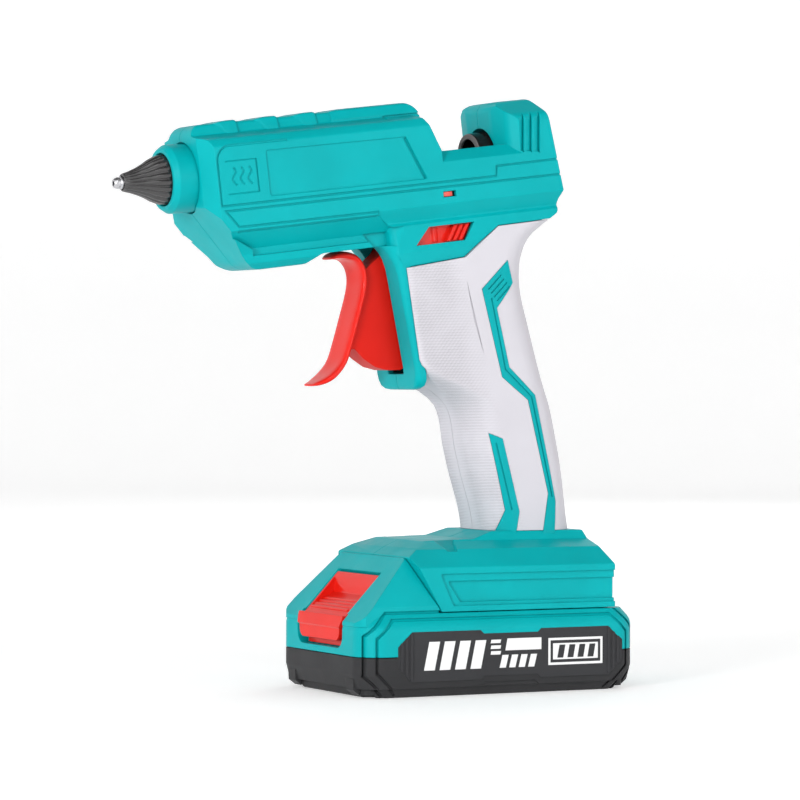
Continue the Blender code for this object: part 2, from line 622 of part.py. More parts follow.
def switch_openings(half):
    """The slanted window, the channel behind it that the knob's plate runs in, and the lens hole."""
    window = [(SWITCH_S - 12.3, SWITCH_V - 3.2), (SWITCH_S + 8.4, SWITCH_V - 3.2),
              (SWITCH_S + 12.4, SWITCH_V + 3.2), (SWITCH_S - 6.8, SWITCH_V + 3.2)]
    cut(half, side_prism("switch_window", window, -25.0, -10.0, BARREL, cutter=True))
    cut(half, box("knob_channel", (SWITCH_S - 18.6, -15.7, SWITCH_V - 5.0),
                  (SWITCH_S + 18.1, -10.0, SWITCH_V + 5.0), BARREL, cutter=True))
    cut(half, rod("lens_hole", -25.0, -10.0, 1.9 + GAP, (123.8, 0, -17.0), "Y", BARREL, steps=16,
                  cutter=True))


# Battery pack
def pack_ring(z, shrink_x, shrink_y, radius):
    half = PACK_LENGTH / 2
    return rounded_ring(-half + shrink_x, half - shrink_x, PACK_WIDTH / 2 - shrink_y, radius, z)


PACK_WALL = 2.6
BLADE_Y = 8.0
BUTTON_SPRING_AT = (-47.5, 0.0)
BUTTON_SPRING_FOOT = 18.4
BUTTON_SPRING_HEAD = 32.0
PLATE = [
    (-38.5, 24.3), (-44.5, 18.8), (-44.5, 11.3), (-38.5, 5.8), (-10.0, 5.8), (-8.6, 7.1), (13.8, 7.1),
    (15.2, 5.8),
    (44.2, 5.8), (50.2, 11.3), (50.2, 18.8), (44.2, 24.3), (15.2, 24.3), (13.8, 23.0), (-8.6, 23.0),
    (-10.0, 24.3),
]
PACK_SCREWS = [(-51.4, -27.0), (-51.4, 27.0), (51.4, -27.0), (51.4, 27.0)]


def offset_outline(outline, distance):
    """The outline with every side moved outward, for points that run clockwise seen from -Y."""
    moved = []
    count = len(outline)
    for i in range(count):
        before, here, after = (Vector(outline[(i + k) % count]) for k in (-1, 0, 1))
        first = (here - before).normalized()
        second = (after - here).normalized()
        normals = Vector((-first.y, first.x)) + Vector((-second.y, second.x))
        corner = 1.0 + first.dot(second)
        moved.append(tuple(here + normals * distance / corner))
    return moved


def plate_pockets(body, name):
    for side in (-1, 1):
        low, high = sorted((side * 34.8, side * 45.0))
        outline = offset_outline(PLATE, -GAP)
        cut(body, side_prism(f"{name}_pocket_{side}", outline, low, high, cutter=True))


def pack_lower_case():
    half = PACK_LENGTH / 2
    case = loft("pack_lower_case", [
        pack_ring(0.0, 5.5, 4.5, 8.0), pack_ring(3.0, 4.0, 3.0, 9.0), pack_ring(8.0, 0.0, 0.0, 10.0),
        pack_ring(PACK_SPLIT_Z - GAP / 2, 0.0, 0.0, 10.0),
    ], colour="black")
    inside = loft("case_inside", [
        rounded_ring(-half + 5.5, half - 5.5, PACK_WIDTH / 2 - 3.6, 6.0, 2.6),
        rounded_ring(-half + PACK_WALL, half - PACK_WALL, PACK_WIDTH / 2 - 3.0, 7.0, 7.0),
        rounded_ring(-half + PACK_WALL, half - PACK_WALL, PACK_WIDTH / 2 - 3.0, 7.0, 20.0),
    ], cutter=True)
    cut(case, inside)
    for index, (x, y) in enumerate(PACK_SCREWS):
        boss = rod(f"case_boss_{index}", 1.0, PACK_SPLIT_Z - GAP / 2, 3.3, (x, y, 0), "Z", steps=12,
                   cutter=True)
        join(case, boss)
        cut(case, rod(f"case_hole_{index}", -2.0, 20.0, SCREW_RADIUS + GAP, (x, y, 0), "Z", steps=12,
                      cutter=True))
        cut(case, rod(f"case_seat_{index}", -3.0, 3.6, SCREW_HEAD_RADIUS + GAP, (x, y, 0), "Z", steps=12,
                      cutter=True))
    plate_pockets(case, "case")


def pack_upper_cover():
    half = PACK_LENGTH / 2
    cover = loft("pack_upper_cover", [
        pack_ring(PACK_SPLIT_Z + GAP / 2, 0.0, 0.0, 10.0), pack_ring(24.5, 0.0, 0.0, 10.0),
        pack_ring(27.0, 0.6, 0.9, 9.4), pack_ring(PACK_TOP_Z, 3.6, 3.6, 7.0),
    ])
    section = [(0, 51.2), (24.4, 51.2), (26.0, 50.0), (32.7, 32.0), (32.7, 26.0), (0, 26.0)]
    front = long_prism("front_block", section, -60.0, -20.0)
    outline = [(-58.0, 25.0), (-58.0, 27.4), (-37.2, 49.4), (-36.2, 50.6), (-25.4, 31.4), (-25.4, 25.0)]
    combine(front, side_prism("front_block_outline", outline, -40, 40, cutter=True), "INTERSECT")
    neck = box("rail_bottom", (-32.0, -18.6, 28.0), (42.0, 18.6, 38.0))
    head = box("rail_top", (-34.0, -22.6, 36.7), (42.0, 22.6, 43.8))
    join(cover, front, neck, head)
    room = loft("cover_inside", [
        rounded_ring(-half + PACK_WALL, half - PACK_WALL, PACK_WIDTH / 2 - 3.0, 7.0, 12.0),
        rounded_ring(-half + PACK_WALL, half - PACK_WALL, PACK_WIDTH / 2 - 3.0, 7.0, 24.0),
        rounded_ring(-half + 5.6, half - 5.6, PACK_WIDTH / 2 - 6.0, 6.0, 28.0),
    ], cutter=True)
    backing = [(-60, 10), (-60, 40), (-36, 40), (-47.4, 16.0), (-47.4, 10)]
    guard = side_prism("button_backing", backing, -19.4, 19.4, cutter=True)
    cut(room, guard)
    cut(cover, room)
    cut(cover, box("terminal_pocket", (10.0, -15.0, 26.0), (39.4, 15.0, 36.2), cutter=True))
    for side in (-1, 1):
        cut(cover, box(f"blade_slot_{side}", (14.0, side * BLADE_Y - 1.8, 34.0),
                       (46.0, side * BLADE_Y + 1.8, 46.0), cutter=True))
    pocket = [(-41.6, 44.2), (-35.2, 37.4), (-47.2, 23.8), (-51.5, 16.6), (-70.0, 16.6), (-70.0, 48.0)]
    cut(cover, side_prism("button_pocket", pocket, -17.4, 17.4, cutter=True))
    x, y = BUTTON_SPRING_AT
    cut(cover, rod("spring_hole", BUTTON_SPRING_FOOT - GAP, 34.0, 3.0, (x, y, 0), "Z", steps=12, cutter=True))
    for index, (x, y) in enumerate(PACK_SCREWS):
        boss = rod(f"cover_boss_{index}", PACK_SPLIT_Z + GAP / 2, 27.6, 3.3, (x, y, 0), "Z", steps=12,
                   cutter=True)
        join(cover, boss)
        cut(cover, rod(f"cover_hole_{index}", 10.0, 24.0, SCREW_RADIUS + GAP, (x, y, 0), "Z", steps=12,
                       cutter=True))
    plate_pockets(cover, "cover")


def release_button():
    outline = [(-43.0, 43.0), (-56.2, 29.9), (-60.2, 30.8), (-60.6, 25.2), (-58.8, 24.6), (-58.8, 19.6),
               (-55.0, 19.6), (-52.0, 25.0), (-39.7, 38.0)]
    button = side_prism("release_button", outline, -17.0, 17.0, colour="red")
    scoop = [(-44.6, 44.0), (-46.4, 36.6), (-56.8, 31.2), (-62.0, 33.0), (-60.0, 46.0)]
    cut(button, side_prism("thumb_scoop", scoop, -15.4, 15.4, cutter=True))
    x, y = BUTTON_SPRING_AT
    cut(button, rod("button_socket", 20.0, BUTTON_SPRING_HEAD + GAP, 2.7, (x, y, 0), "Z", steps=12,
                    cutter=True))
    helix("release_spring", (x, y, BUTTON_SPRING_FOOT), (x, y, BUTTON_SPRING_HEAD), 2.0, 0.35, 5)


def pack_inside():
    for index in range(5):
        x = (index - 2) * CELL_PITCH
        rod(f"cell_{index + 1}", -CELL_LENGTH / 2, CELL_LENGTH / 2, CELL_RADIUS, (x, 0, 12.2), "Y", BASE,
            "wrap",
            steps=20)
    box("pack_board", (-34.0, -24.0, 22.4), (46.0, 24.0, 24.0), colour="board")
    terminal = box("pack_terminal", (12.0, -13.6, 26.4), (38.0, 13.6, 35.6), colour="black")
    for side in (-1, 1):
        for tine in (-1, 1):
            low, high = sorted((side * BLADE_Y + tine * 0.7, side * BLADE_Y + tine * 1.3))
            join(terminal, box(f"tine_{side}_{tine}", (19.0, low, 34.0), (24.0, high, 42.0), cutter=True))
    for index, (x, y) in enumerate(PACK_SCREWS):
        profile = [(1.2, 0), (1.2, SCREW_HEAD_RADIUS), (3.2, SCREW_HEAD_RADIUS), (3.2, SCREW_RADIUS),
                   (20.0, SCREW_RADIUS), (21.4, 0.5), (21.4, 0)]
        turned(f"pack_screw_{index + 1}", profile, (x, y, 0), "Z", steps=12)


def pack_plates():
    for name, side in (("left_pack_plate", -1), ("right_pack_plate", 1)):
        low, high = sorted((side * 35.1, side * 36.6))
        side_prism(name, PLATE, low, high, colour="black")


def main():
    clear_scene()
    left = housing_half("left_housing", -1)
    switch_openings(left)
    housing_half("right_housing", 1)
    grip_cover("left_grip_cover", -1)
    grip_cover("right_grip_cover", 1)
    for name, (x, z, _) in HOUSING_SCREWS.items():
        housing_screw(name, x, z)
    nozzle_parts()
    heater_parts()
    guide_tube()
    trigger_parts()
    carriage_parts()
    electric_parts()
    pack_lower_case()
    pack_upper_cover()
    pack_plates()
    release_button()
    pack_inside()


main()
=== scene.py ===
"""Looks of the cordless glue gun: detailed shells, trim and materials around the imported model.

Lengths are millimetres until add_object turns them into metres. BASE is the world. BARREL follows the
housing's nose-down slope and FEED the glue stick's path; both start at the nozzle tip, X to the rear.
"""

import json
import math
from functools import partial

import bmesh
import bpy
from mathutils import Matrix, Vector


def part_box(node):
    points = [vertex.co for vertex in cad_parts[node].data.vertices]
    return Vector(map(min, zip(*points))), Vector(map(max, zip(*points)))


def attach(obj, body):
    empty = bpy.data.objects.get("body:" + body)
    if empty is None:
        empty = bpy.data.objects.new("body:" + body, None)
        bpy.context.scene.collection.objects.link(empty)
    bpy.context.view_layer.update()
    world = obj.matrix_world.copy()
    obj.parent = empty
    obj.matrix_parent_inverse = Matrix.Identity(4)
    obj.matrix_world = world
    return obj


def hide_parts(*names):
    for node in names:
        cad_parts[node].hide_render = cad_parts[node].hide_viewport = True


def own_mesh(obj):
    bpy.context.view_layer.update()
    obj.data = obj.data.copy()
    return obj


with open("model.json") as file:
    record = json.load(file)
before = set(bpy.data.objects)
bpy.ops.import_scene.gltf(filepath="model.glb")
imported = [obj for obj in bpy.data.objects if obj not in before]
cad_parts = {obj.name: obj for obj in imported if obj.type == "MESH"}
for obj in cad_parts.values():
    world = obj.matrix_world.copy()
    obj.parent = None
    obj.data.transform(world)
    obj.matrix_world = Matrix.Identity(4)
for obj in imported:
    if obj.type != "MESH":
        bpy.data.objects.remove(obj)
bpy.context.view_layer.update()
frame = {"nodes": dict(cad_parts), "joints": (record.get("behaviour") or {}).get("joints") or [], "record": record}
joints = {joint["name"]: joint for joint in frame["joints"]}

MM = 0.001
SEAM = 0.15
CLEARANCE = 0.3


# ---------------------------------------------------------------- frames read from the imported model
def slope_of(joint):
    axis = Vector(joints[joint]["axis"])
    return math.atan2(abs(axis.z), abs(axis.x))


def middle_of(node):
    low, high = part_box(node)
    return (low + high) / 2


HEATER_PLATE_MIDDLE = Vector((52.0, 0.0, -12.45)) * MM
FEED_TURN = Matrix.Rotation(-slope_of("stick_feed"), 4, "Y")
TIP = middle_of("heater_plate") - FEED_TURN @ HEATER_PLATE_MIDDLE
BASE = Matrix.Identity(4)
FEED = Matrix.Translation(TIP) @ FEED_TURN
BARREL = Matrix.Translation(TIP) @ Matrix.Rotation(-slope_of("power_switch"), 4, "Y")
PIVOT = Vector(joints["trigger_squeeze"]["pos_m"])
HINGE = Matrix.Translation(PIVOT)
PACK_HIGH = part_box("pack_lower_case")[1]
PACK_HALF_LENGTH = PACK_HIGH.x / MM
PACK_HALF_WIDTH = PACK_HIGH.y / MM
PACK_SPLIT_Z = 15.0


# ---------------------------------------------------------------- mesh helpers
tools = []


def linked(name, data):
    """A new object in the scene."""
    obj = bpy.data.objects.new(name, data)
    bpy.context.scene.collection.objects.link(obj)
    return obj


def mesh_from(name, bm):
    mesh = bpy.data.meshes.new(name)
    bm.to_mesh(mesh)
    bm.free()
    return mesh


def add_object(name, bm, place=BASE):
    """Turns a bmesh in millimetres into an object."""
    bmesh.ops.recalc_face_normals(bm, faces=bm.faces)
    bmesh.ops.transform(bm, matrix=place @ Matrix.Scale(MM, 4), verts=bm.verts)
    return linked(name, mesh_from(name, bm))


def tool(make, *shape, **settings):
    """A shape for cutting, joining or bounding a piece, which the next bake uses up."""
    made = make("tool", *shape, **settings)
    tools.append(made)
    return made


def fillet(corners, steps=5):
    """A closed outline in which a corner given as (x, z, radius) is drawn as an arc."""
    outline = []
    for i, corner in enumerate(corners):
        here = Vector(corner[:2])
        if len(corner) < 3:
            outline.append(tuple(here))
            continue
        back = (Vector(corners[i - 1][:2]) - here).normalized()
        ahead = (Vector(corners[(i + 1) % len(corners)][:2]) - here).normalized()
        half = back.angle(ahead) / 2
        centre = here + (back + ahead).normalized() * corner[2] / math.sin(half)
        first = here + back * corner[2] / math.tan(half) - centre
        last = here + ahead * corner[2] / math.tan(half) - centre
        turn = first.angle_signed(last)
        for step in range(steps + 1):
            spoke = first.copy()
            spoke.rotate(Matrix.Rotation(-turn * step / steps, 2))
            outline.append(tuple(centre + spoke))
    return outline


def both_sides(half):
    """An outline seen from above, from the corners of its left-hand half."""
    return half + [(x, -y, *radius) for x, y, *radius in reversed(half) if y]


def rectangle(x1, z1, x2, z2):
    return [(x1, z1), (x2, z1), (x2, z2), (x1, z2)]


def slanted(x, low, high, width, lean):
    """A bar with level ends that leans to the rear."""
    return [(x, low), (x + lean, high), (x + lean + width, high), (x + width, low)]


def offset_outline(outline, distance):
    """The outline with every side moved sideways: outward for points that run clockwise."""
    moved = []
    count = len(outline)
    for i in range(count):
        before, here, after = (Vector(outline[(i + k) % count][:2]) for k in (-1, 0, 1))
        first = (here - before).normalized()
        second = (after - here).normalized()
        normals = Vector((-first.y, first.x)) + Vector((-second.y, second.x))
        moved.append(tuple(here + normals * distance / (1.0 + first.dot(second))))
    return moved


def ribbon(path, width):
    """The outline of a band of even width along an open path."""
    left, right = [], []
    for i, point in enumerate(path):
        here = Vector(point)
        before = (here - Vector(path[i - 1])).normalized() if i else None
        after = (Vector(path[i + 1]) - here).normalized() if i + 1 < len(path) else None
        first = before or after
        second = after or before
        normals = Vector((-first.y, first.x)) + Vector((-second.y, second.x))
        across = normals * (width / 2) / (1.0 + first.dot(second))
        left.append(tuple(here + across))
        right.append(tuple(here - across))
    return left + right[::-1]


def extruded(points, offset):
    bm = bmesh.new()
    face = bm.faces.new([bm.verts.new(point) for point in points])
    swept = bmesh.ops.extrude_face_region(bm, geom=[face])
    moved = [item for item in swept["geom"] if isinstance(item, bmesh.types.BMVert)]
    bmesh.ops.translate(bm, vec=offset, verts=moved)
    return bm


def side_prism(name, outline, low_y, high_y, place=BASE):
    """An outline seen from the side, as (x, z) corners, with a thickness across the gun."""
    low_y, high_y = sorted((low_y, high_y))
    bm = extruded([(x, low_y, z) for x, z in outline], (0, high_y - low_y, 0))
    return add_object(name, bm, place)


def long_prism(name, half_section, start, end, place=BASE):
    """A mirror-symmetric cross-section, as (y, z) points of one half, run along X."""
    mirrored = [(-y, z) for y, z in reversed(half_section) if y > 1e-6]
    bm = extruded([(start, y, z) for y, z in half_section + mirrored], (end - start, 0, 0))
    return add_object(name, bm, place)


def flat_prism(name, outline, low_z, high_z, place=BASE):
    """An outline seen from above, as (x, y) corners, with a height."""
    bm = extruded([(x, y, low_z) for x, y in outline], (0, 0, high_z - low_z))
    return add_object(name, bm, place)


def box(name, low, high, place=BASE):
    return side_prism(name, rectangle(low[0], low[2], high[0], high[2]), low[1], high[1], place)


AXIS_TURNS = {
    "X": Matrix.Identity(4),
    "Y": Matrix.Rotation(math.pi / 2, 4, "Z"),
    "Z": Matrix.Rotation(-math.pi / 2, 4, "Y"),
}


def turned(name, profile, centre=(0, 0, 0), along="X", place=BASE, steps=64):
    """A closed (distance, radius) profile spun round an axis through the centre."""
    bm = bmesh.new()
    ring = [bm.verts.new((distance, 0, radius)) for distance, radius in profile]
    pairs = [(i, (i + 1) % len(ring)) for i in range(len(ring))]
    edges = [bm.edges.new((ring[i], ring[j])) for i, j in pairs if profile[i][1] or profile[j][1]]
    bmesh.ops.spin(bm, geom=ring + edges, cent=(0, 0, 0), axis=(1, 0, 0), angle=math.tau, steps=steps,
                   use_duplicate=False, use_merge=True)
    bmesh.ops.remove_doubles(bm, verts=bm.verts, dist=1e-4)
    bmesh.ops.transform(bm, matrix=Matrix.Translation(centre) @ AXIS_TURNS[along], verts=bm.verts)
    return add_object(name, bm, place)


def rod(name, start, end, radius, centre=(0, 0, 0), along="Y", place=BASE, steps=40):
    start, end = sorted((start, end))
    profile = [(start, 0), (end, 0), (end, radius), (start, radius)]
    return turned(name, profile, centre, along, place, steps)


def loft(name, rings, place=BASE):
    """Bridges rings of equal length into one closed solid."""
    bm = bmesh.new()
    layers = [[bm.verts.new(point) for point in ring] for ring in rings]
    count = len(rings[0])
    for lower, upper in zip(layers, layers[1:]):
        for i in range(count):
            j = (i + 1) % count
            bm.faces.new((lower[i], lower[j], upper[j], upper[i]))
    bm.faces.new(layers[0])
    bm.faces.new(layers[-1])
    return add_object(name, bm, place)


def rounded_ring(x_front, x_rear, half_width, radius, z, per_corner=8, front_radius=None):
    """A level rounded rectangle, as points going once round."""
    front = radius if front_radius is None else front_radius
    corners = (
        (x_rear - radius, half_width - radius, radius, 0), (x_front + front, half_width - front, front, 90),
        (x_front + front, -half_width + front, front, 180),
        (x_rear - radius, -half_width + radius, radius, 270),
    )
    points = []
    for x, y, reach, start in corners:
        for step in range(per_corner + 1):
            angle = math.radians(start + 90 * step / per_corner)
            points.append((x + reach * math.cos(angle), y + reach * math.sin(angle), z))
    return points


def combine(target, other, operation):
    modifier = target.modifiers.new(other.name, "BOOLEAN")
    modifier.operation = operation
    modifier.solver = "MANIFOLD"
    modifier.object = other
    if other not in tools:
        tools.append(other)


def cut(target, *others):
    for other in others:
        combine(target, other, "DIFFERENCE")


def join(target, *others):
    for other in others:
        combine(target, other, "UNION")


def keep_only(target, *others):
    for other in others:
        combine(target, other, "INTERSECT")


def trim(target, outline=None, plan=None, place=BASE, reach=40):
    """Keeps what lies inside an outline seen from the side and one seen from above."""
    if outline:
        keep_only(target, tool(side_prism, outline, -reach, reach, place))
    if plan:
        keep_only(target, tool(flat_prism, plan, -60, 60, place))
    return target


def apply_modifiers(obj):
    graph = bpy.context.evaluated_depsgraph_get()
    mesh = bpy.data.meshes.new_from_object(obj.evaluated_get(graph))
    obj.modifiers.clear()
    obj.data = mesh


def bake(obj):
    """Applies the cuts and removes their tools."""
    apply_modifiers(obj)
    for used in tools:
        bpy.data.objects.remove(used, do_unlink=True)
    tools.clear()
    return obj


def merge_flat(obj):
    """Merges the faces and corners that the cuts split for no reason."""
    bm = bmesh.new()
    bm.from_mesh(obj.data)
    bmesh.ops.remove_doubles(bm, verts=bm.verts, dist=0.02 * MM)
    bmesh.ops.dissolve_degenerate(bm, edges=bm.edges, dist=0.02 * MM)
    bmesh.ops.dissolve_limit(bm, verts=bm.verts, edges=bm.edges, angle_limit=math.radians(0.6))
    bm.to_mesh(obj.data)
    bm.free()


def weigh_edges(obj, width, angle):
    """Marks the sharp edges, each with as much of the rounding as the shortest edge beside it allows."""
    bm = bmesh.new()
    bm.from_mesh(obj.data)
    weights = bm.edges.layers.float.new("bevel_weight_edge")
    limit = math.radians(angle)
    for edge in bm.edges:
        if len(edge.link_faces) != 2 or edge.calc_face_angle(0.0) < limit:
            continue
        beside = [other.calc_length() for vert in edge.verts for other in vert.link_edges if other != edge]
        room = 0.4 * min(beside + [edge.calc_length() * 1.2])
        edge[weights] = min(1.0, room / (width * MM))
    bm.to_mesh(obj.data)
    bm.free()


def folded(mesh):
    """True if a face's triangles fold over each other, as a rounding that ran out of room leaves them."""
    mesh.calc_loop_triangles()
    for triangle in mesh.loop_triangles:
        face = mesh.polygons[triangle.polygon_index]
        if triangle.area > 1e-10 and triangle.normal.dot(face.normal) < 0.5:
            return True
    return False


def soften(obj, width=0.4, segments=2, angle=28):
    """Rounds the sharp edges, unless the shape is too intricate, and shades the flat faces flat."""
    merge_flat(obj)
    sharp = obj.data.copy()
    weigh_edges(obj, width, angle)
    bevel = obj.modifiers.new("rounding", "BEVEL")
    bevel.width = width * MM
    bevel.segments = segments
    bevel.limit_method = "WEIGHT"
    bevel.use_clamp_overlap = False
    apply_modifiers(obj)
    if folded(obj.data):
        obj.data = sharp
    smooth(obj)
    return obj


def smooth(obj, angle=40):
    obj.data.shade_smooth()
    obj.data.set_sharp_from_angle(angle=math.radians(angle))
    weighted = obj.modifiers.new("shading", "WEIGHTED_NORMAL")
    weighted.keep_sharp = True
    apply_modifiers(obj)
    return obj


def mirrored(obj, name):
    """A copy on the other side of the gun."""
    bm = bmesh.new()
    bm.from_mesh(obj.data)
    bmesh.ops.scale(bm, vec=(1, -1, 1), verts=bm.verts)
    bmesh.ops.reverse_faces(bm, faces=bm.faces)
    return linked(name, mesh_from(name, bm))


def place_piece(obj, body, finish, *nodes):
    """Gives a finished piece its material and body, and hides the nodes that it stands for."""
    obj.data.materials.clear()
    obj.data.materials.append(materials[finish])
    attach(obj, body)
    if nodes:
        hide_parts(*nodes)
    return obj


# ---------------------------------------------------------------- materials
def node_of(tree, kind, **values):
    made = tree.nodes.new(kind)
    for key, value in values.items():
        if key in made.inputs:
            made.inputs[key].default_value = value
        else:
            setattr(made, key, value)
    return made


def noise(tree, coordinates, scale, detail=3.0, roughness=0.5):
    made = node_of(tree, "ShaderNodeTexNoise", Scale=scale, Detail=detail, Roughness=roughness)
    tree.links.new(coordinates, made.inputs["Vector"])
    return made.outputs["Fac"]


def ranged(tree, value, low, high, from_low=0.3, from_high=0.7):
    made = node_of(tree, "ShaderNodeMapRange")
    made.inputs["From Min"].default_value = from_low
    made.inputs["From Max"].default_value = from_high
    made.inputs["To Min"].default_value = low
    made.inputs["To Max"].default_value = high
    tree.links.new(value, made.inputs["Value"])
    return made.outputs["Result"]


def mixed(tree, factor, first, second):
    made = tree.nodes.new("ShaderNodeMix")
    made.data_type = "RGBA"
    tree.links.new(factor, made.inputs["Factor"])
    for socket, colour in ((made.inputs[6], first), (made.inputs[7], second)):
        if isinstance(colour, bpy.types.NodeSocket):
            tree.links.new(colour, socket)
        else:
            socket.default_value = (*colour, 1.0)
    return made.outputs[2]


def calculated(tree, operation, first, second=0.0):
    made = tree.nodes.new("ShaderNodeMath")
    made.operation = operation
    for socket, value in zip(made.inputs, (first, second)):
        if isinstance(value, bpy.types.NodeSocket):
            tree.links.new(value, socket)
        else:
            socket.default_value = value
    return made.outputs[0]


def shaded(colour, amount):
    return tuple(max(0.0, min(1.0, channel * amount)) for channel in colour)


def start_material(name, metallic=0.0, coat=0.0, gloss=0.1):
    made = bpy.data.materials.new(name)
    made.use_nodes = True
    tree = made.node_tree
    shader = tree.nodes["Principled BSDF"]
    shader.inputs["Metallic"].default_value = metallic
    shader.inputs["Coat Weight"].default_value = coat
    shader.inputs["Specular IOR Level"].default_value = 0.5 if metallic else gloss
    shader.inputs["Coat Roughness"].default_value = 0.07
    coordinates = tree.nodes.new("ShaderNodeTexCoord").outputs["Object"]
    return made, tree, shader, coordinates


def add_bump(tree, shader, height, strength, distance, edge=0.35):
    """Fine relief, on edges that are rounded over by a radius in millimetres."""
    rounded = node_of(tree, "ShaderNodeBevel", Radius=edge * MM)
    rounded.samples = 6
    bump = node_of(tree, "ShaderNodeBump", Strength=strength, Distance=distance)
    tree.links.new(rounded.outputs["Normal"], bump.inputs["Normal"])
    tree.links.new(height, bump.inputs["Height"])
    tree.links.new(bump.outputs["Normal"], shader.inputs["Normal"])


def moulded(name, colour, roughness, grain=0.25, grain_size=0.45, metallic=0.0, coat=0.0, variation=0.06,
            gloss=0.1, edge=0.35):
    """Injection-moulded plastic, or plain metal: spark-eroded grain, cloudy tone and worn gloss."""
    made, tree, shader, coordinates = start_material(name, metallic, coat, gloss)
    cloud = noise(tree, coordinates, 38.0)
    tone = mixed(tree, ranged(tree, cloud, 0.0, 1.0), shaded(colour, 1 - variation),
                 shaded(colour, 1 + variation))
    tree.links.new(tone, shader.inputs["Base Color"])
    handling = noise(tree, coordinates, 90.0, 5.0, 0.6)
    tree.links.new(ranged(tree, handling, roughness - 0.05, roughness + 0.06), shader.inputs["Roughness"])
    fine = noise(tree, coordinates, 1000.0 / grain_size, 2.0)
    add_bump(tree, shader, fine, grain, 0.00006, edge)
    return made


def brushed(name, colour, roughness, stretch):
    """Machined metal with fine marks drawn out along one axis."""
    made, tree, shader, coordinates = start_material(name, 1.0)
    mapping = node_of(tree, "ShaderNodeMapping")
    mapping.inputs["Scale"].default_value = stretch
    tree.links.new(coordinates, mapping.inputs["Vector"])
    marks = noise(tree, mapping.outputs["Vector"], 1.0, 4.0)
    tone = mixed(tree, ranged(tree, marks, 0.0, 1.0), shaded(colour, 0.86), shaded(colour, 1.06))
    tree.links.new(tone, shader.inputs["Base Color"])
    tree.links.new(ranged(tree, marks, roughness - 0.07, roughness + 0.1), shader.inputs["Roughness"])
    add_bump(tree, shader, marks, 0.3, 0.00004)
    return made


def grip_textile(name, colour):
    """The white grip: a diagonal lattice of small pips that fades out towards the rear; the colour in the pits is
    darkened as painted shade.
    """
    made, tree, shader, coordinates = start_material(name)
    split = tree.nodes.new("ShaderNodeSeparateXYZ")
    tree.links.new(coordinates, split.inputs[0])
    x, y, z = split.outputs
    times = partial(calculated, tree, "MULTIPLY")
    plus = partial(calculated, tree, "ADD")
    lean = plus(x, times(z, 0.28))
    outward = calculated(tree, "SUBTRACT", calculated(tree, "ABSOLUTE", y), 0.018)
    around = plus(lean, outward)
    pitch = math.tau / (1.15 * MM)
    first = calculated(tree, "SINE", times(plus(around, z), pitch))
    second = calculated(tree, "SINE", times(calculated(tree, "SUBTRACT", around, z), pitch))
    lattice = times(first, second)
    front_edge = ranged(tree, around, 0.0, 1.0, 0.0055, 0.0125)
    rear_edge = ranged(tree, around, 1.0, 0.0, 0.026, 0.037)
    patch = ranged(tree, noise(tree, coordinates, 45.0), 0.35, 1.0, 0.38, 0.6)
    pips = times(lattice, times(times(front_edge, rear_edge), patch))
    cloud = noise(tree, coordinates, 30.0)
    plain = mixed(tree, ranged(tree, cloud, 0.0, 1.0), shaded(colour, 0.96), shaded(colour, 1.03))
    # Painted shade: the colour in the pips' hollows is darkened to half of the grip's colour
    painted_pit_shade = ranged(tree, pips, 0.0, 1.0, 0.2, -0.6)
    tone = mixed(tree, painted_pit_shade, plain, shaded(colour, 0.5))
    tree.links.new(tone, shader.inputs["Base Color"])
    tree.links.new(ranged(tree, noise(tree, coordinates, 120.0), 0.5, 0.62), shader.inputs["Roughness"])
    fine = times(noise(tree, coordinates, 2400.0, 2.0), 0.25)
    add_bump(tree, shader, plus(pips, fine), 0.5, 0.00016)
    return made


materials = {
    "teal": moulded("teal_plastic", (0.0, 0.385, 0.41), 0.42, 0.3, edge=0.5),
    "inlay": moulded("teal_inlay", (0.0, 0.36, 0.385), 0.38, 0.2, edge=0.2),
    "grip": grip_textile("white_grip", (0.70, 0.68, 0.73)),
    "red": moulded("red_plastic", (0.74, 0.013, 0.006), 0.38, 0.06, coat=0.4, variation=0.03, gloss=0.05),
    "web": moulded("red_plastic_matt", (0.66, 0.012, 0.006), 0.42, 0.15),
    "charcoal": moulded("charcoal_plastic", (0.036, 0.036, 0.038), 0.48, 0.35),
    "plate": moulded("charcoal_plate", (0.042, 0.042, 0.045), 0.55, 0.2),
    "gloss_black": moulded("gloss_black_plastic", (0.012, 0.011, 0.011), 0.22, 0.1, coat=0.3),
    "tube_rim": moulded("worn_black_rim", (0.16, 0.15, 0.15), 0.4, 0.2),
    "rubber": moulded("nozzle_rubber", (0.020, 0.019, 0.020), 0.25, 0.12, coat=0.9, gloss=0.5, edge=0.1),
    "steel": brushed("brushed_steel", (0.60, 0.60, 0.62), 0.28, (300, 2500, 2500)),
    "aluminium": brushed("cast_aluminium", (0.72, 0.73, 0.75), 0.38, (800, 800, 800)),
    "lens": moulded("salmon_lens", (0.72, 0.09, 0.07), 0.25, 0.08, coat=0.4),
    "print": moulded("white_print", (0.86, 0.86, 0.86), 0.5, 0.15, variation=0.02),
    "board": moulded("solder_mask_green", (0.01, 0.16, 0.06), 0.35, 0.2, coat=0.2),
    "ceramic": moulded("fired_ceramic", (0.78, 0.75, 0.70), 0.7, 0.5, 0.8),
    "wrap": moulded("cell_sleeve", (0.02, 0.16, 0.42), 0.28, 0.1, coat=0.3),
}
# The material slot of each finish, and the finish of the CAD nodes in each slot
CAD_FINISH = {
    "teal_shell": "teal", "grip_white": "grip", "red_plastic": "red", "black_plastic": "charcoal",
    "black_rubber": "rubber", "steel": "steel", "aluminium": "aluminium", "red_lens": "lens",
    "board_green": "board", "ceramic": "ceramic", "cell_wrap": "wrap",
}
NODE_SLOTS = {part["node"]: part["material_slot"] for part in frame["record"]["subparts"]}


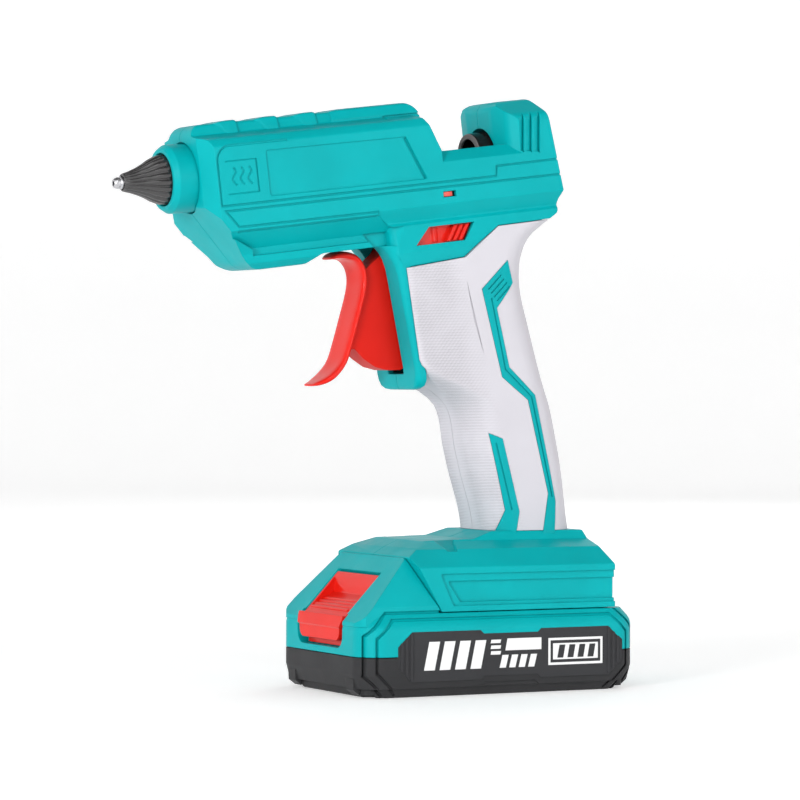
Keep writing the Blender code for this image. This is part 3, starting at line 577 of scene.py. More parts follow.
# ---------------------------------------------------------------- housing
NOSE_S = 27.3
NOSE_WALL_S = 34.5
NOTCH_S = 122.5
TOWER_S = 150.3
SIDE_Y = 21.0
NECK_Y = 18.4
COLUMN_Y = 16.8

UPPER_CORNERS = [(0, 17.7), (8.2, 17.7, 2.2), (10.0, 13.6, 1.4), (18.6, 11.8, 3.0), (SIDE_Y, 9.0, 1.6)]
FRONT_SECTION = fillet([
    *UPPER_CORNERS, (SIDE_Y, -21.6, 0.8), (14.6, -30.6, 3.0), (13.8, -34.0, 1.2), (11.0, -36.6, 1.6),
    (0, -36.6),
])
REAR_SIDE = [(SIDE_Y, -20.4, 0.8), (17.2, -25.6, 0.8), (NECK_Y, -26.9, 0.6), (COLUMN_Y, -37.0, 6.0),
             (COLUMN_Y, -48.0), (0, -48.0)]
MIDDLE_SECTION = fillet([
    *UPPER_CORNERS, (SIDE_Y, -20.4, 0.8), (17.2, -25.6, 0.8), (NECK_Y, -26.9), (0, -26.9),
])
NECK_SECTION = fillet([(0, -24.0), (17.2, -25.6), (NECK_Y, -26.9, 0.6), (COLUMN_Y, -37.0, 6.0),
                       (COLUMN_Y, -48.0), (0, -48.0)])
NOTCH_SECTION = fillet([(0, -1.0), (17.0, -1.0, 0.3), (SIDE_Y, -5.0, 0.4), *REAR_SIDE])
TOWER_SECTION = fillet([(0, 15.1), (10.6, 15.1, 5.0), (SIDE_Y, 8.8, 5.0), *REAR_SIDE])
FRONT_HOLLOW = [(0, 11.4), (8, 11.4), (18.6, 8.4), (18.6, -20.4), (10.2, -27.2), (10.2, -33.8), (0, -33.8)]
REAR_HOLLOW = [(0, 12.4), (9.8, 12.4), (18.6, 7.6), (18.6, -19.6), (15.0, -25.2), (15.0, -42.0), (0, -42.0)]

COVER_TOP = [(-31.3, 156.6), (-6.9, 161.0), (6.9, 172.9), (27.4, 175.7), (50.0, 178.8)]
COVER_FRONT = [(-25.2, 119.5), (-25.2, 112.0), (-21.0, 105.0), (-21.0, 59.3)]
HANDLE_STATIONS = (
    (56.0, 6.4, 42.4), (66.0, 5.0, 40.8), (80.0, 0.8, 39.0), (90.0, -1.8, 37.2), (105.0, -5.2, 33.8),
    (112.0, -13.0, 31.4), (118.0, -24.8, 29.4), (124.0, -28.4, 27.6), (134.0, -30.1, 24.8),
    (148.0, -32.5, 21.0), (156.0, -33.8, 20.4), (163.0, -35.0, 21.4), (170.0, -35.4, 25.2),
    (176.0, -35.8, 33.0),
)
# Screw name: x and z in the world, how far its bosses reach sideways
HOUSING_SCREWS = {
    "nose_screw": (-92.5, 163.5, 12.0), "barrel_screw": (-56.0, 169.5, 12.0),
    "tower_screw": (17.5, 215.2, 12.0),
    "neck_screw": (22.0, 184.0, 17.4), "grip_screw": (6.0, 147.0, 15.4), "handle_screw": (22.0, 82.0, 15.4),
    "foot_screw": (-14.0, 51.0, 15.4),
}
SCREW_SEAT_Y = 8.0


def smooth_value(stations, column, z):
    """A smooth curve through the stations' values."""
    index = max(i for i in range(len(stations) - 1) if stations[i][0] <= z or i == 0)

    def slope(i):
        low, high = stations[max(i - 1, 0)], stations[min(i + 1, len(stations) - 1)]
        return (high[column] - low[column]) / (high[0] - low[0])

    here, there = stations[index], stations[index + 1]
    span = there[0] - here[0]
    t = (z - here[0]) / span
    return (
        here[column] * (1 + 2 * t) * (1 - t) ** 2 + there[column] * t * t * (3 - 2 * t)
        + span * (slope(index) * t * (1 - t) ** 2 - slope(index + 1) * t * t * (1 - t))
    )


def handle_body(name, inset, half_width=NECK_Y - 0.4, radius=11.5):
    """The grip's body; its front corners tighten where the column stands in front of it."""
    rings = []
    low, high = HANDLE_STATIONS[0][0], HANDLE_STATIONS[-1][0]
    count = 48
    for step in range(count + 1):
        z = low + (high - low) * step / count
        front = smooth_value(HANDLE_STATIONS, 1, z)
        rear = smooth_value(HANDLE_STATIONS, 2, z)
        tight = radius - 6.5 * min(1.0, max(0.0, (z - 108.0) / 14.0))
        rings.append(rounded_ring(front + inset, rear - inset, half_width - inset, radius - inset, z, 9,
                                  tight - inset))
    return loft(name, rings)


def barrel_nose():
    front = long_prism("barrel_front", FRONT_SECTION, NOSE_S, 104.0, BARREL)
    outline = fillet([
        (NOSE_S, -11.8, 2.0), (NOSE_S, 17.7, 4.8), (110.0, 17.7), (110.0, -33.4), (72.5, -33.4, 5.0),
        (66.5, -36.6, 5.0), (44.0, -36.6, 9.0),
    ], 8)
    plan = fillet(both_sides([(NOSE_S, 13.9, 1.8), (31.0, SIDE_Y + 0.4, 1.4), (130.0, SIDE_Y + 0.4)]))
    return trim(front, outline, plan, BARREL)


def spine_scales():
    """Three raised saddles on the spine, each ending in a small step."""
    section = fillet([(0, 18.3), (8.6, 18.3, 1.4), (10.5, 14.2, 0.6), (10.5, 12.6), (0, 12.6)])
    made = []
    for start, end in ((37.0, 46.0), (53.2, 62.4), (68.8, 78.0)):
        scale = tool(long_prism, section, start, end, BARREL)
        outline = [(start, 12.0), (start, 17.5), (start + 5.0, 18.3), (end - 0.6, 18.3), (end, 17.9),
                   (end, 12.0)]
        plan = both_sides([(start, 7.8), (start + 5.0, 10.4), (end, 10.4)])
        trim(scale, outline, place=BARREL, reach=20)
        keep_only(scale, tool(flat_prism, plan, 0, 30, BARREL))
        made.append(scale)
    return made


def rear_bar():
    section = fillet([(0, 18.3), (8.6, 18.3, 1.8), (10.3, 14.6, 0.8), (10.3, 10.0), (0, 10.0)])
    bar = tool(long_prism, section, 84.0, 121.0, BARREL)
    outline = fillet([(84.0, 9.0), (84.0, 17.6), (88.0, 18.3), (120.3, 18.3, 6.5), (120.6, 9.0)], 8)
    return trim(bar, outline, place=BARREL, reach=20)


def tower_block():
    """The rear tower; its front face bows forward and rolls back to the sides."""
    tower = long_prism("barrel_tower", TOWER_SECTION, TOWER_S, 176.0, BARREL)
    rear = fillet([
        (TOWER_S, -46.0), (TOWER_S, 15.1, 4.5), (166.8, 15.1, 2.5), (169.0, 9.0, 8.0), (172.3, -20.4, 1.2),
        (170.8, -23.4, 0.6), (170.2, -28.5, 1.5), (166.0, -31.0), (152.0, -46.0),
    ])
    plan = fillet(both_sides([
        (TOWER_S, 0.0), (TOWER_S + 0.2, 9.0, 12.0), (TOWER_S + 2.4, 18.0, 6.0),
        (TOWER_S + 6.4, SIDE_Y + 0.3, 3.0), (180.0, SIDE_Y + 0.3),
    ]))
    return trim(tower, rear, plan, BARREL)


def neck_block():
    """What joins the barrel to the column; its front corners are well rounded."""
    neck = tool(long_prism, NECK_SECTION, 96.0, NOTCH_S, BARREL)
    plan = fillet(both_sides([(99.8, NECK_Y, 7.0), (130.0, NECK_Y)]), 10)
    side = [(99.6, -20.0), (100.4, -34.0), (104.0, -42.0), (106.0, -50.0), (130.0, -50.0), (130.0, -20.0)]
    trim(neck, plan=plan, place=BARREL)
    return trim(neck, side, place=BARREL)


def cut_recesses(front):
    """The undercut of both flanks, which starts as a sharp triangle, and the step behind the flange."""
    under = [(31.8, -21.0), (31.8, -22.2), (44.2, -29.0), (45.6, -37.0), (104.0, -37.0), (104.0, -21.0)]
    behind = [(90.2, -28.2), (93.6, -33.6), (93.6, -38.0), (104.0, -38.0), (104.0, -28.2)]
    for side in (-1, 1):
        section = [(30.0, -21.9), (20.1, -21.9), (12.8, -28.6), (13.2, -31.2), (30.0, -33.2)]
        bm = extruded([(28.0, side * y, z) for y, z in section], (76.0, 0, 0))
        groove = trim(tool(add_object, bm, BARREL), under, place=BARREL)
        cut(front, groove, tool(side_prism, behind, side * 11.4, side * 30.0, BARREL))


def barrel_solid():
    front = barrel_nose()
    middle = long_prism("barrel_middle", MIDDLE_SECTION, 100.0, 123.6, BARREL)
    wedge = [(93.5, -18.0), (93.5, -21.4), (100.0, -26.9), (102.0, -26.9), (102.0, -18.0)]
    shoulder = fillet([(90.0, 20.0), (113.0, 20.0), (117.4, 11.6, 3.0), (NOTCH_S, -1.0), (NOTCH_S, -30.0),
                       (90.0, -30.0)])
    trim(middle, shoulder, place=BARREL)
    deeper = tool(side_prism, wedge, -30, 30, BARREL)
    keep_only(deeper, tool(long_prism, MIDDLE_SECTION, 90.0, 104.0, BARREL))
    notch = long_prism("barrel_notch", NOTCH_SECTION, 121.0, 158.0, BARREL)
    cut(front, tool(side_prism, [(93.5, -19), (93.5, -21.4), (100.3, -26.9), (101.5, -40), (120, -40),
                                 (120, -19)], -40, 40, BARREL))
    cut_recesses(front)
    join(front, *spine_scales(), rear_bar(), middle, deeper, neck_block(), notch, tower_block())
    below = [(x, z + CLEARANCE) for x, z in COVER_TOP] + [(50.0, 100.0), (COVER_TOP[0][0], 100.0)]
    cut(front, tool(side_prism, below, -40, 40))
    return front


# Height, front, rear, half width and corner radius of the column in front of the grip
COLUMN_STATIONS = (
    (111.8, -24.6, -23.2, 9.0, 0.7), (112.2, -25.4, -22.6, 12.2, 1.3), (113.4, -26.0, -22.0, 14.8, 1.9),
    (115.4, -26.4, -22.0, 16.2, 2.1), (117.4, -26.6, -22.4, COLUMN_Y, 2.0),
    (120.0, -26.9, -23.0, COLUMN_Y, 1.9), (153.0, -33.7, -28.6, COLUMN_Y, 2.4),
    (157.0, -34.8, -29.2, COLUMN_Y, 2.7), (160.0, -36.0, -27.0, COLUMN_Y, 4.0),
    (162.4, -37.6, -24.0, COLUMN_Y, 5.0), (164.6, -39.8, -20.0, COLUMN_Y, 5.6),
)


def column_solid(name, grow=0.0):
    """The box in front of the grip that the trigger web runs into."""
    return loft(name, [rounded_ring(front - grow, rear + grow, half + grow, 0.6, z - grow, 5, radius) for z,
                       front, rear, half, radius in COLUMN_STATIONS])


def foot_solid():
    """The flared foot that takes the pack's rail."""
    section = fillet([
        (0, 64.0), (15.6, 64.0), (17.4, 59.2, 0.8), (19.4, 56.0, 1.4), (26.0, 53.3, 2.0), (33.0, 47.0, 1.0),
        (33.0, 30.8), (0, 30.8),
    ])
    foot = long_prism("foot", section, -40.0, 60.0)
    outline = fillet([
        (-24.3, 30.8), (-36.0, 50.7, 0.6), (-31.0, 53.6, 3.0), (-25.0, 56.1, 3.0), (-4.0, 56.5, 4.0),
        (4.6, 59.2, 0.8), (43.6, 59.2, 0.8), (44.8, 55.8, 1.5), (49.0, 46.6, 1.0), (49.0, 30.8),
    ])
    return trim(foot, outline)


def barrel_cavities():
    front = tool(long_prism, FRONT_HOLLOW, NOSE_WALL_S, 112.0, BARREL)
    outline = [(NOSE_WALL_S, -18.4), (NOSE_WALL_S, 12.0), (112.0, 12.0), (112.0, -31.0), (69.5, -31.0),
               (64.0, -33.9), (45.2, -33.9)]
    trim(front, outline, place=BARREL, reach=30)
    middle = tool(long_prism, FRONT_HOLLOW[:4] + REAR_HOLLOW[4:], 108.6, 120.4, BARREL)
    trough = tool(box, (112.0, -14.5, -24.0), (TOWER_S - 1, 14.5, 4.0), BARREL)
    under = tool(box, (112.0, -15.0, -42.0), (TOWER_S + 8, 15.0, -22.0), BARREL)
    tower = tool(long_prism, REAR_HOLLOW, TOWER_S + 8.4, 167.0, BARREL)
    inner_rear = [(150.0, 13.0), (162.0, 13.0), (165.6, 8.0), (168.6, -19.0), (167.0, -24.0), (163.0, -30.0),
                  (150.0, -42.0)]
    trim(tower, inner_rear, place=BARREL, reach=30)
    return front, middle, trough, under, tower


def handle_cavities():
    grip = tool(loft, [rounded_ring(front + 5.4, rear - 4.8, NECK_Y - 5.0, 6.0, z, 2) for z, front,
                       rear in HANDLE_STATIONS])
    column = [(-33.4, 164.0), (-24.2, 118.0), (-20.0, 115.0), (0.0, 115.0), (0.0, 164.0)]
    room = tool(side_prism, column, -12.6, 12.6)
    slot = tool(side_prism, fillet([(-45, 168), (-45, 117.6), (-24.6, 117.6, 1.0), (-15, 119), (-15, 168)]),
                -6.2, 6.2)
    mouth = tool(box, (-45.0, -6.4, 155.0), (-22.0, 6.4, 172.0))
    return grip, room, slot, mouth


def foot_cavities():
    """The rail channel: a neck that opens below and a wider head above it."""
    neck = tool(box, (-45.0, -19.2, 25.0), (43.0, 19.2, 38.0))
    head = tool(box, (-45.0, -23.2, 36.0), (43.0, 23.2, 44.4))
    upper = tool(box, (7.0, -12.0, 43.0), (36.0, 12.0, 62.0))
    return neck, head, upper


def arc_path(centre, radius, start, end, steps=8):
    """Points along an arc, its angles in degrees."""
    angles = (math.radians(start + (end - start) * i / steps) for i in range(steps + 1))
    return [(centre[0] + radius * math.cos(a), centre[1] + radius * math.sin(a)) for a in angles]


def side_cutter(outline, depth, place=BARREL, face=SIDE_Y):
    """A cutter that reaches a given depth into the left side."""
    return tool(side_prism, outline, -face - 5.0, -face + depth, place)


def barrel_side_details():
    """Grooves, field and heat mark of the left side; the right side mirrors them."""
    top_left = arc_path((37.0, 3.6), 5.4, 90, 180)
    upper = [(60.0, 9.0)] + top_left + [(31.5, -12.4), (144.2, -12.4), (144.8, -8.7), (176.0, -8.5)]
    lower = [(176.0, -14.3), (32.8, -14.3), (37.4, -20.4), (94.0, -20.6)]
    cutters = [
        side_cutter(ribbon(upper, 0.7), 0.55),
        side_cutter(ribbon(lower, 0.7), 0.55),
        side_cutter(ribbon([(37.0, -22.0), (93.4, -22.0), (100.4, -27.4)], 0.7), 1.6),
    ]
    field = fillet([(51.0, 6.0, 0.8), (108.2, 5.6, 0.4), (115.4, -10.6, 0.4), (51.0, -10.6, 0.8)])
    cutters.append(side_cutter(field, 0.5))
    cutters.append(side_cutter(ribbon([(107.8, 5.2), (114.6, -10.3)], 1.0), 1.2))
    frame_corners = [(34.6, 3.4), (46.8, 3.4), (46.8, -8.4), (34.6, -8.4), (34.6, 3.4)]
    cutters.append(side_cutter(ribbon(frame_corners[1:3], 0.6), 0.5))
    cutters.append(side_cutter(ribbon(frame_corners[:2], 0.35), 0.25))
    cutters.append(side_cutter(ribbon(frame_corners[2:4], 0.35), 0.25))
    for index in range(3):
        middle = 37.6 + index * 3.1
        wave = [(middle + 0.75 * math.sin(step * 0.72), 0.9 - step * 0.62) for step in range(11)]
        cutters.append(side_cutter(ribbon(wave, 0.65), 0.35))
    return cutters


def tower_scoops():
    """Three upright scoops, each deepening towards the rear and ended by a narrow slit."""
    cutters = []
    for index in range(3):
        x = 15.75 + index * 3.4
        scoop = [(x - 2.9, -SIDE_Y), (x - 1.6, -SIDE_Y + 0.25), (x, -SIDE_Y + 1.0), (x, -26.0),
                 (x - 2.9, -26.0)]
        cutters.append(tool(flat_prism, scoop, 201.0, 226.0))
        slit = [(x - 0.3, -SIDE_Y + 1.8), (x + 0.3, -SIDE_Y + 1.8), (x + 0.3, -26.0), (x - 0.3, -26.0)]
        cutters.append(tool(flat_prism, slit, 200.6, 226.0))
    return cutters


def housing_common():
    """One half, without what only one side has."""
    half = barrel_solid()
    half.name = "housing_half"
    core = handle_body("handle_core", 2.3)
    join(half, core, column_solid("column"), foot_solid())
    keep_only(half, tool(box, (-200, -60.0, 0), (100, -SEAM, 300)))
    cut(half, *barrel_cavities(), *handle_cavities(), *foot_cavities())
    cut(half, tool(rod, 20.0, 39.0, 13.0, along="X", place=FEED, steps=64),
        tool(rod, 148.0, 180.0, 10.4, along="X", place=FEED, steps=64))
    cut(half, tool(side_prism, ribbon([(103.4, 11.0), (105.4, 13.7), (122.0, 13.7)], 0.8), -14.0, -9.6,
                   BARREL))
    cut(half, *barrel_side_details(), *tower_scoops(), *foot_side_details())
    return bake(half)


def foot_side_details():
    """The long stepped recess in the foot's flank and the dimple in its top."""
    outer = fillet([(-25.0, 44.6, 0.6), (60.0, 44.6), (60.0, 32.9), (-19.6, 32.9, 0.6)])
    inner = fillet([(-21.6, 41.9, 0.5), (60.0, 41.9), (60.0, 34.2), (-16.4, 34.2, 0.5)])
    dimple = [(-21.0, -17.5, 56.6), (-12.0, -17.5, 56.8), (-15.0, -26.0, 51.4), (-19.0, -26.0, 51.6)]
    bm = extruded(dimple, (0, -3.0, 3.6))
    return [side_cutter(outer, 0.9, BASE, 33.0), side_cutter(inner, 1.9, BASE, 33.0), tool(add_object, bm)]


# Frames with their origin at the middle of the switch and of the lens
SWITCH = BARREL @ Matrix.Translation(Vector((122.0, 0.0, -31.5)) * MM)
LENS = BARREL @ Matrix.Translation(Vector((123.9, 0.0, -17.0)) * MM)


def left_openings(half):
    """The switch window with its channel, and the lens slot."""
    window = [(-12.3, -3.2), (8.4, -3.2), (12.4, 3.2), (-6.8, 3.2)]
    cut(half, tool(side_prism, window, -25.0, -10.0, SWITCH),
        tool(box, (-18.6, -15.7, -5.0), (18.1, -10.0, 5.0), SWITCH),
        tool(side_prism, rectangle(-2.7, -1.05, 2.7, 1.05), -25.0, -10.0, LENS))
    return bake(half)


def right_openings(half):
    for x, z, _ in HOUSING_SCREWS.values():
        cut(half, tool(rod, SCREW_SEAT_Y, 45.0, 3.0, (x, 0, z), steps=40))
    return bake(half)


def add_bosses(half, side):
    """Posts round the screws and the trigger pin's sockets."""
    for x, z, reach in HOUSING_SCREWS.values():
        join(half, tool(rod, side * SEAM, side * reach, 4.2, (x, 0, z), steps=24))
        cut(half, tool(rod, -side * 0.5, side * 11.0, 1.65, (x, 0, z), steps=24))
    pivot = tuple(PIVOT / MM)
    join(half, tool(rod, side * 6.6, side * 14.6, 4.4, pivot, steps=24))
    cut(half, tool(rod, side * 6.0, side * 12.4, 2.3, pivot, steps=24))
    return half


def housing_pieces():
    common = housing_common()
    right = mirrored(common, "right_housing_shell")
    left = linked("left_housing_shell", common.data.copy())
    bpy.data.objects.remove(common, do_unlink=True)
    left_openings(add_bosses(left, -1))
    right_openings(add_bosses(right, 1))
    for obj, node in ((left, "left_housing"), (right, "right_housing")):
        place_piece(soften(obj, 0.35), "housing", "teal", node)


# ---------------------------------------------------------------- grip covers and their inlays
DIAMOND = [(10.8, 160.2), (13.4, 151.9), (6.2, 142.3), (0.0, 149.3)]
REAR_STRIPE = [
    (0.0, 149.3), (6.2, 142.3), (11.6, 120.3), (22.8, 109.9), (32.0, 70.1), (31.4, 58.0), (26.4, 58.0),
    (28.6, 73.0), (19.8, 108.1), (8.7, 116.7),
]
LOWER_STRIPE = [(3.7, 95.6), (8.9, 93.6), (16.2, 66.3), (14.9, 58.0), (8.1, 58.0), (10.9, 67.0)]
INLAYS = {
    "grip_stripe": [(10.8, 160.2), (13.4, 151.9), *REAR_STRIPE[1:], (0.0, 149.3)],
    "grip_lower_stripe": LOWER_STRIPE,
}
STRIPE_LINES = [[(3.9, 146.0), (10.0, 119.4), (21.2, 109.2), (30.3, 71.6)], [(6.3, 92.0), (13.2, 67.0)]]


def inlay_band(name, outline):
    """A thin shell that follows the grip's surface inside an outline."""
    band = handle_body(name, -0.18)
    keep_only(band, tool(side_prism, outline, -40.0, -6.0))
    cut(band, tool(handle_body, 0.55))
    return band


def grip_side():
    cover = handle_body("grip_cover", 0.0)
    outline = COVER_TOP + [(60.0, 59.3)] + list(reversed(COVER_FRONT))
    keep_only(cover, tool(side_prism, outline, -40.0, -SEAM))
    cut(cover, tool(handle_body, 2.0), tool(column_solid, CLEARANCE))
    for shape in INLAYS.values():
        recess = tool(side_prism, offset_outline(shape, 0.12), -40.0, -6.0)
        cut(recess, tool(handle_body, 0.6))
        cut(cover, recess)
    crease = [(-6.6, 153.0), (-2.6, 138.0), (1.1, 124.6), (-3.4, 138.0)]
    bm = extruded([(x, -17.55, z) for x, z in crease], (0, -3.0, 0))
    cut(cover, tool(add_object, bm))
    return bake(cover)


def inlay_side(name, outline, lines):
    band = inlay_band(name, outline)
    for line in lines:
        groove = tool(side_prism, ribbon(line, 0.55), -40.0, -6.0)
        cut(groove, tool(handle_body, 0.3))
        cut(band, groove)
    return bake(band)


def diamond_lines():
    """Fine ribs across the diamond, parallel to its long upper edge."""
    low, high = Vector(DIAMOND[3]), Vector(DIAMOND[0])
    step = (Vector(DIAMOND[2]) - low) / 5
    lines = []
    for index in range(1, 5):
        start = low + step * index + (high - low) * 0.12
        end = low + step * index + (high - low) * 0.62
        lines.append([tuple(start), tuple(end)])
    return lines


def grip_pieces():
    openings = [HOUSING_SCREWS[name] for name in ("grip_screw", "handle_screw")]
    left = grip_side()
    left.name = "left_grip_cover_shell"
    right = mirrored(left, "right_grip_cover_shell")
    for x, z, _ in openings:
        cut(right, tool(rod, SCREW_SEAT_Y, 45.0, 3.4, (x, 0, z), steps=40))
    bake(right)
    for obj, node in ((left, "left_grip_cover"), (right, "right_grip_cover")):
        place_piece(soften(obj, 0.35, angle=35), "housing", "grip", node)
    line_sets = {"grip_stripe": [STRIPE_LINES[0]] + diamond_lines(), "grip_lower_stripe": [STRIPE_LINES[1]]}
    for name, outline in INLAYS.items():
        piece = inlay_side(f"left_{name}", outline, line_sets[name])
        other = mirrored(piece, f"right_{name}")
        for x, z, _ in openings:
            cut(other, tool(rod, 6.0, 45.0, 3.4, (x, 0, z), steps=40))
        bake(other)
        for obj in (piece, other):
            place_piece(soften(obj, 0.12, angle=40), "housing", "inlay")


# ---------------------------------------------------------------- nozzle, collar and guide tube
def fluted_sleeve():
    """The rubber sleeve: tapering ribs that run along the nozzle."""
    profile = ((2.6, 2.75), (3.1, 3.3), (5.5, 3.9), (8.6, 5.0), (11.0, 6.1), (13.4, 7.5), (16.0, 8.6),
               (18.6, 9.25), (22.0, 9.3), (23.6, 9.3))
    inside = ((23.6, 6.2), (13.8, 6.1), (13.2, 4.95), (3.0, 2.7))
    ribs = 20
    points = ribs * 8
    rows = [(a, radius, 0.13 * radius * min(1.0, max(0.0, (a - 2.6) / 3.0))) for a, radius in profile]
    rows += [(a, radius, 0.0) for a, radius in inside]
    bm = bmesh.new()
    loops = []
    for a, radius, depth in rows:
        ring = []
        for step in range(points):
            turn = math.tau * step / points
            around = radius - depth * (1 - abs(math.sin(turn * ribs / 2)) ** 0.6)
            ring.append(bm.verts.new((a, around * math.cos(turn), around * math.sin(turn))))
        loops.append(ring)
    for index, ring in enumerate(loops):
        following = loops[(index + 1) % len(loops)]
        for i in range(points):
            j = (i + 1) % points
            bm.faces.new((ring[i], ring[j], following[j], following[i]))
    return add_object("nozzle_sleeve_ribbed", bm, FEED)


def nozzle_pieces():
    sleeve = fluted_sleeve()
    sleeve.data.shade_smooth()
    place_piece(sleeve, "housing", "rubber", "nozzle_sleeve")
    tip = turned("nozzle_tip_turned", [
        (-0.5, 0.9), (-0.5, 1.4), (-0.2, 1.7), (0.8, 2.1), (1.2, 2.15), (1.4, 2.0), (1.8, 2.0), (2.0, 2.4),
        (2.5, 2.45), (2.9, 2.3), (3.6, 2.5), (14.0, 4.6), (14.0, 5.6), (17.0, 5.6), (17.0, 4.2), (24.0, 4.2),
        (24.0, 2.6), (9.0, 2.6), (6.0, 0.9),
    ], place=FEED, steps=64)
    place_piece(smooth(tip, 30), "housing", "steel", "nozzle_tip")
    lip = fillet([(18.4, 9.6, 0.35), (18.4, 11.1, 0.5), (20.4, 12.5, 0.9), (38.0, 12.5), (38.0, 9.6)], 4)
    collar = turned("front_collar_ring", lip, place=FEED, steps=96)
    for side in (-1, 1):
        join(collar, tool(box, (36.0, min(side * 10.6, side * 15.6), -5.0),
                          (38.0, max(side * 10.6, side * 15.6), 5.0), FEED))
    bake(collar)
    place_piece(smooth(collar, 35), "housing", "teal", "front_collar")


def guide_pieces():
    """The guide tube and the worn rims at its two ends."""
    body = [(145.3, 6.9), (145.3, 8.7, 0.3), (152.2, 9.3, 0.2), (152.5, 8.9, 0.1), (153.2, 9.2),
            (172.0, 9.6), (172.0, 6.9)]
    front = [(144.8, 6.6, 0.25), (144.8, 8.5, 0.3), (145.6, 8.7), (145.6, 6.6)]
    back = [(171.2, 6.6, 0.2), (171.2, 9.7, 0.2), (172.4, 9.7, 0.3), (172.4, 6.6, 0.3)]
    for name, corners, finish, nodes in (
        ("stick_guide_tube", body, "gloss_black", ["rear_guide_tube"]),
        ("stick_guide_rim", front, "tube_rim", []),
        ("stick_guide_rear_rim", back, "tube_rim", []),
    ):
        ring = turned(name, fillet(corners, 3), place=FEED, steps=72)
        place_piece(smooth(ring, 30), "housing", finish, *nodes)


# ---------------------------------------------------------------- trigger
BLADE_LINE = [
    (-25.6, 0.0), (-23.4, 0.9), (-20.4, 1.1), (-17.0, 0.2), (-14.3, -2.8), (-13.2, -7.4), (-13.9, -13.0),
    (-16.4, -22.0), (-19.2, -31.6), (-21.6, -38.2), (-25.4, -42.8), (-29.4, -45.4), (-32.9, -46.6),
]


def spline_points(points, per_span):
    """A smooth line through the points."""
    line = []
    count = len(points)
    for i in range(count - 1):
        p0, p1, p2, p3 = (Vector(points[max(0, min(count - 1, i + k))]) for k in (-1, 0, 1, 2))
        for step in range(per_span):
            t = step / per_span
            bend = (2 * p0 - 5 * p1 + 4 * p2 - p3) * t ** 2 + (3 * p1 - p0 - 3 * p2 + p3) * t ** 3
            line.append(0.5 * (2 * p1 + (p2 - p0) * t + bend))
    line.append(Vector(points[-1]))
    return line


def trigger_blade():
    """A bowed strip, rounded over its edges, hollowed in front and drawn out to a point at both ends."""
    line = spline_points(BLADE_LINE, 5)
    rings = []
    around = 28
    for index, middle in enumerate(line):
        ahead = line[min(index + 1, len(line) - 1)] - line[max(index - 1, 0)]
        normal = Vector((-ahead.y, ahead.x)).normalized()
        ends = min(index, len(line) - 1 - index) / (len(line) - 1)
        grow = min(1.0, ends * 5.5)
        width = 7.5 * (0.50 + 0.50 * math.sin(grow * math.pi / 2))
        thickness = 1.75 * (0.22 + 0.78 * math.sin(grow * math.pi / 2))
        ring = []
        for step in range(around):
            turn = math.tau * step / around
            across = math.cos(turn)
            through = math.sin(turn)
            y = width * math.copysign(abs(across) ** 0.72, across)
            lift = thickness * math.copysign(abs(through) ** 0.8, through)
            hollow = 0.7 * grow * (1 - (y / width) ** 2) if through > 0 else 0.0
            point = middle - normal * (lift - hollow)
            ring.append((point.x, y, point.y))
        rings.append(ring)
    return loft("trigger_blade", rings, HINGE)


WEB = [
    (-12.6, -4.2), (-4.0, 3.2, 2.0), (4.2, 3.2, 2.0), (6.6, -38.0, 1.5), (2.6, -40.9), (-3.0, -41.0),
    (-8.0, -39.8), (-12.6, -36.9), (-16.6, -33.2), (-20.2, -33.9), (-16.8, -23.0), (-13.4, -12.0),
]
TRIGGER_ARM = 24.0


def trigger_pieces():
    place_piece(smooth(trigger_blade(), 70), "trigger_lever", "red", "trigger")
    web = side_prism("trigger_web", fillet(WEB, 4), -5.0, 5.0, HINGE)
    arm = [(-4.0, 0.0), (4.0, 0.0), (3.6, TRIGGER_ARM), (2.0, TRIGGER_ARM + 2.6), (-2.0, TRIGGER_ARM + 2.6),
           (-3.6, TRIGGER_ARM)]
    tail = [(1.0, 3.4), (15.0, 1.2), (15.0, -1.4), (1.0, -3.4)]
    join(web, tool(rod, -6.0, 6.0, 5.2, place=HINGE), tool(side_prism, arm, -2.6, 2.6, HINGE),
         tool(side_prism, tail, -4.5, 4.5, HINGE))
    cut(web, tool(rod, -10.0, 10.0, 2.08, place=HINGE),
        tool(rod, -5.0, 5.0, 1.8, (0, 0, TRIGGER_ARM), place=HINGE))
    bake(web)
    place_piece(soften(web, 0.4, angle=32), "trigger_lever", "web")


# ---------------------------------------------------------------- switch knob and lens
def knob_pieces():
    plate = fillet([(x, z, 0.8) for x, z in rectangle(-13.2, -4.6, 17.6, 4.6)], 3)
    knob = side_prism("switch_knob", plate, -15.2, -13.4, SWITCH)
    block = [(0.4, -2.8), (7.4, -2.8), (11.0, 2.8), (4.0, 2.8)]
    tail = tool(box, (-1.5, -14.0, -1.5), (1.5, -12.7, 1.5), SWITCH)
    swell = tool(rod, -2.6, 2.6, 2.9, (-3.4, -12.7, 0), "Z", SWITCH)
    keep_only(swell, tool(box, (-9.0, -18.0, -4.0), (2.0, -13.8, 4.0), SWITCH))
    join(knob, tool(side_prism, block, -16.6, -14.0, SWITCH), tail, swell)
    for low in (0.4, 2.9, 5.4):
        rib = [(low, -2.7), (low + 1.4, -2.7), (low + 5.0, 2.7), (low + 3.6, 2.7)]
        join(knob, tool(side_prism, rib, -17.6, -16.0, SWITCH))
    bake(knob)
    place_piece(soften(knob, 0.2), "switch_slider", "red", "power_switch_knob")
    lens = box("indicator_window", (-2.5, -20.6, -0.9), (1.2, -17.6, 0.9), LENS)
    place_piece(soften(lens, 0.2), "housing", "lens", "indicator_lens")
    shade = box("indicator_shade", (1.3, -19.4, -0.95), (2.6, -17.8, 0.95), LENS)
    place_piece(soften(shade, 0.15), "housing", "gloss_black")


# ---------------------------------------------------------------- screws

HEAD_RADIUS = 2.7
THREAD_RADIUS = 1.35


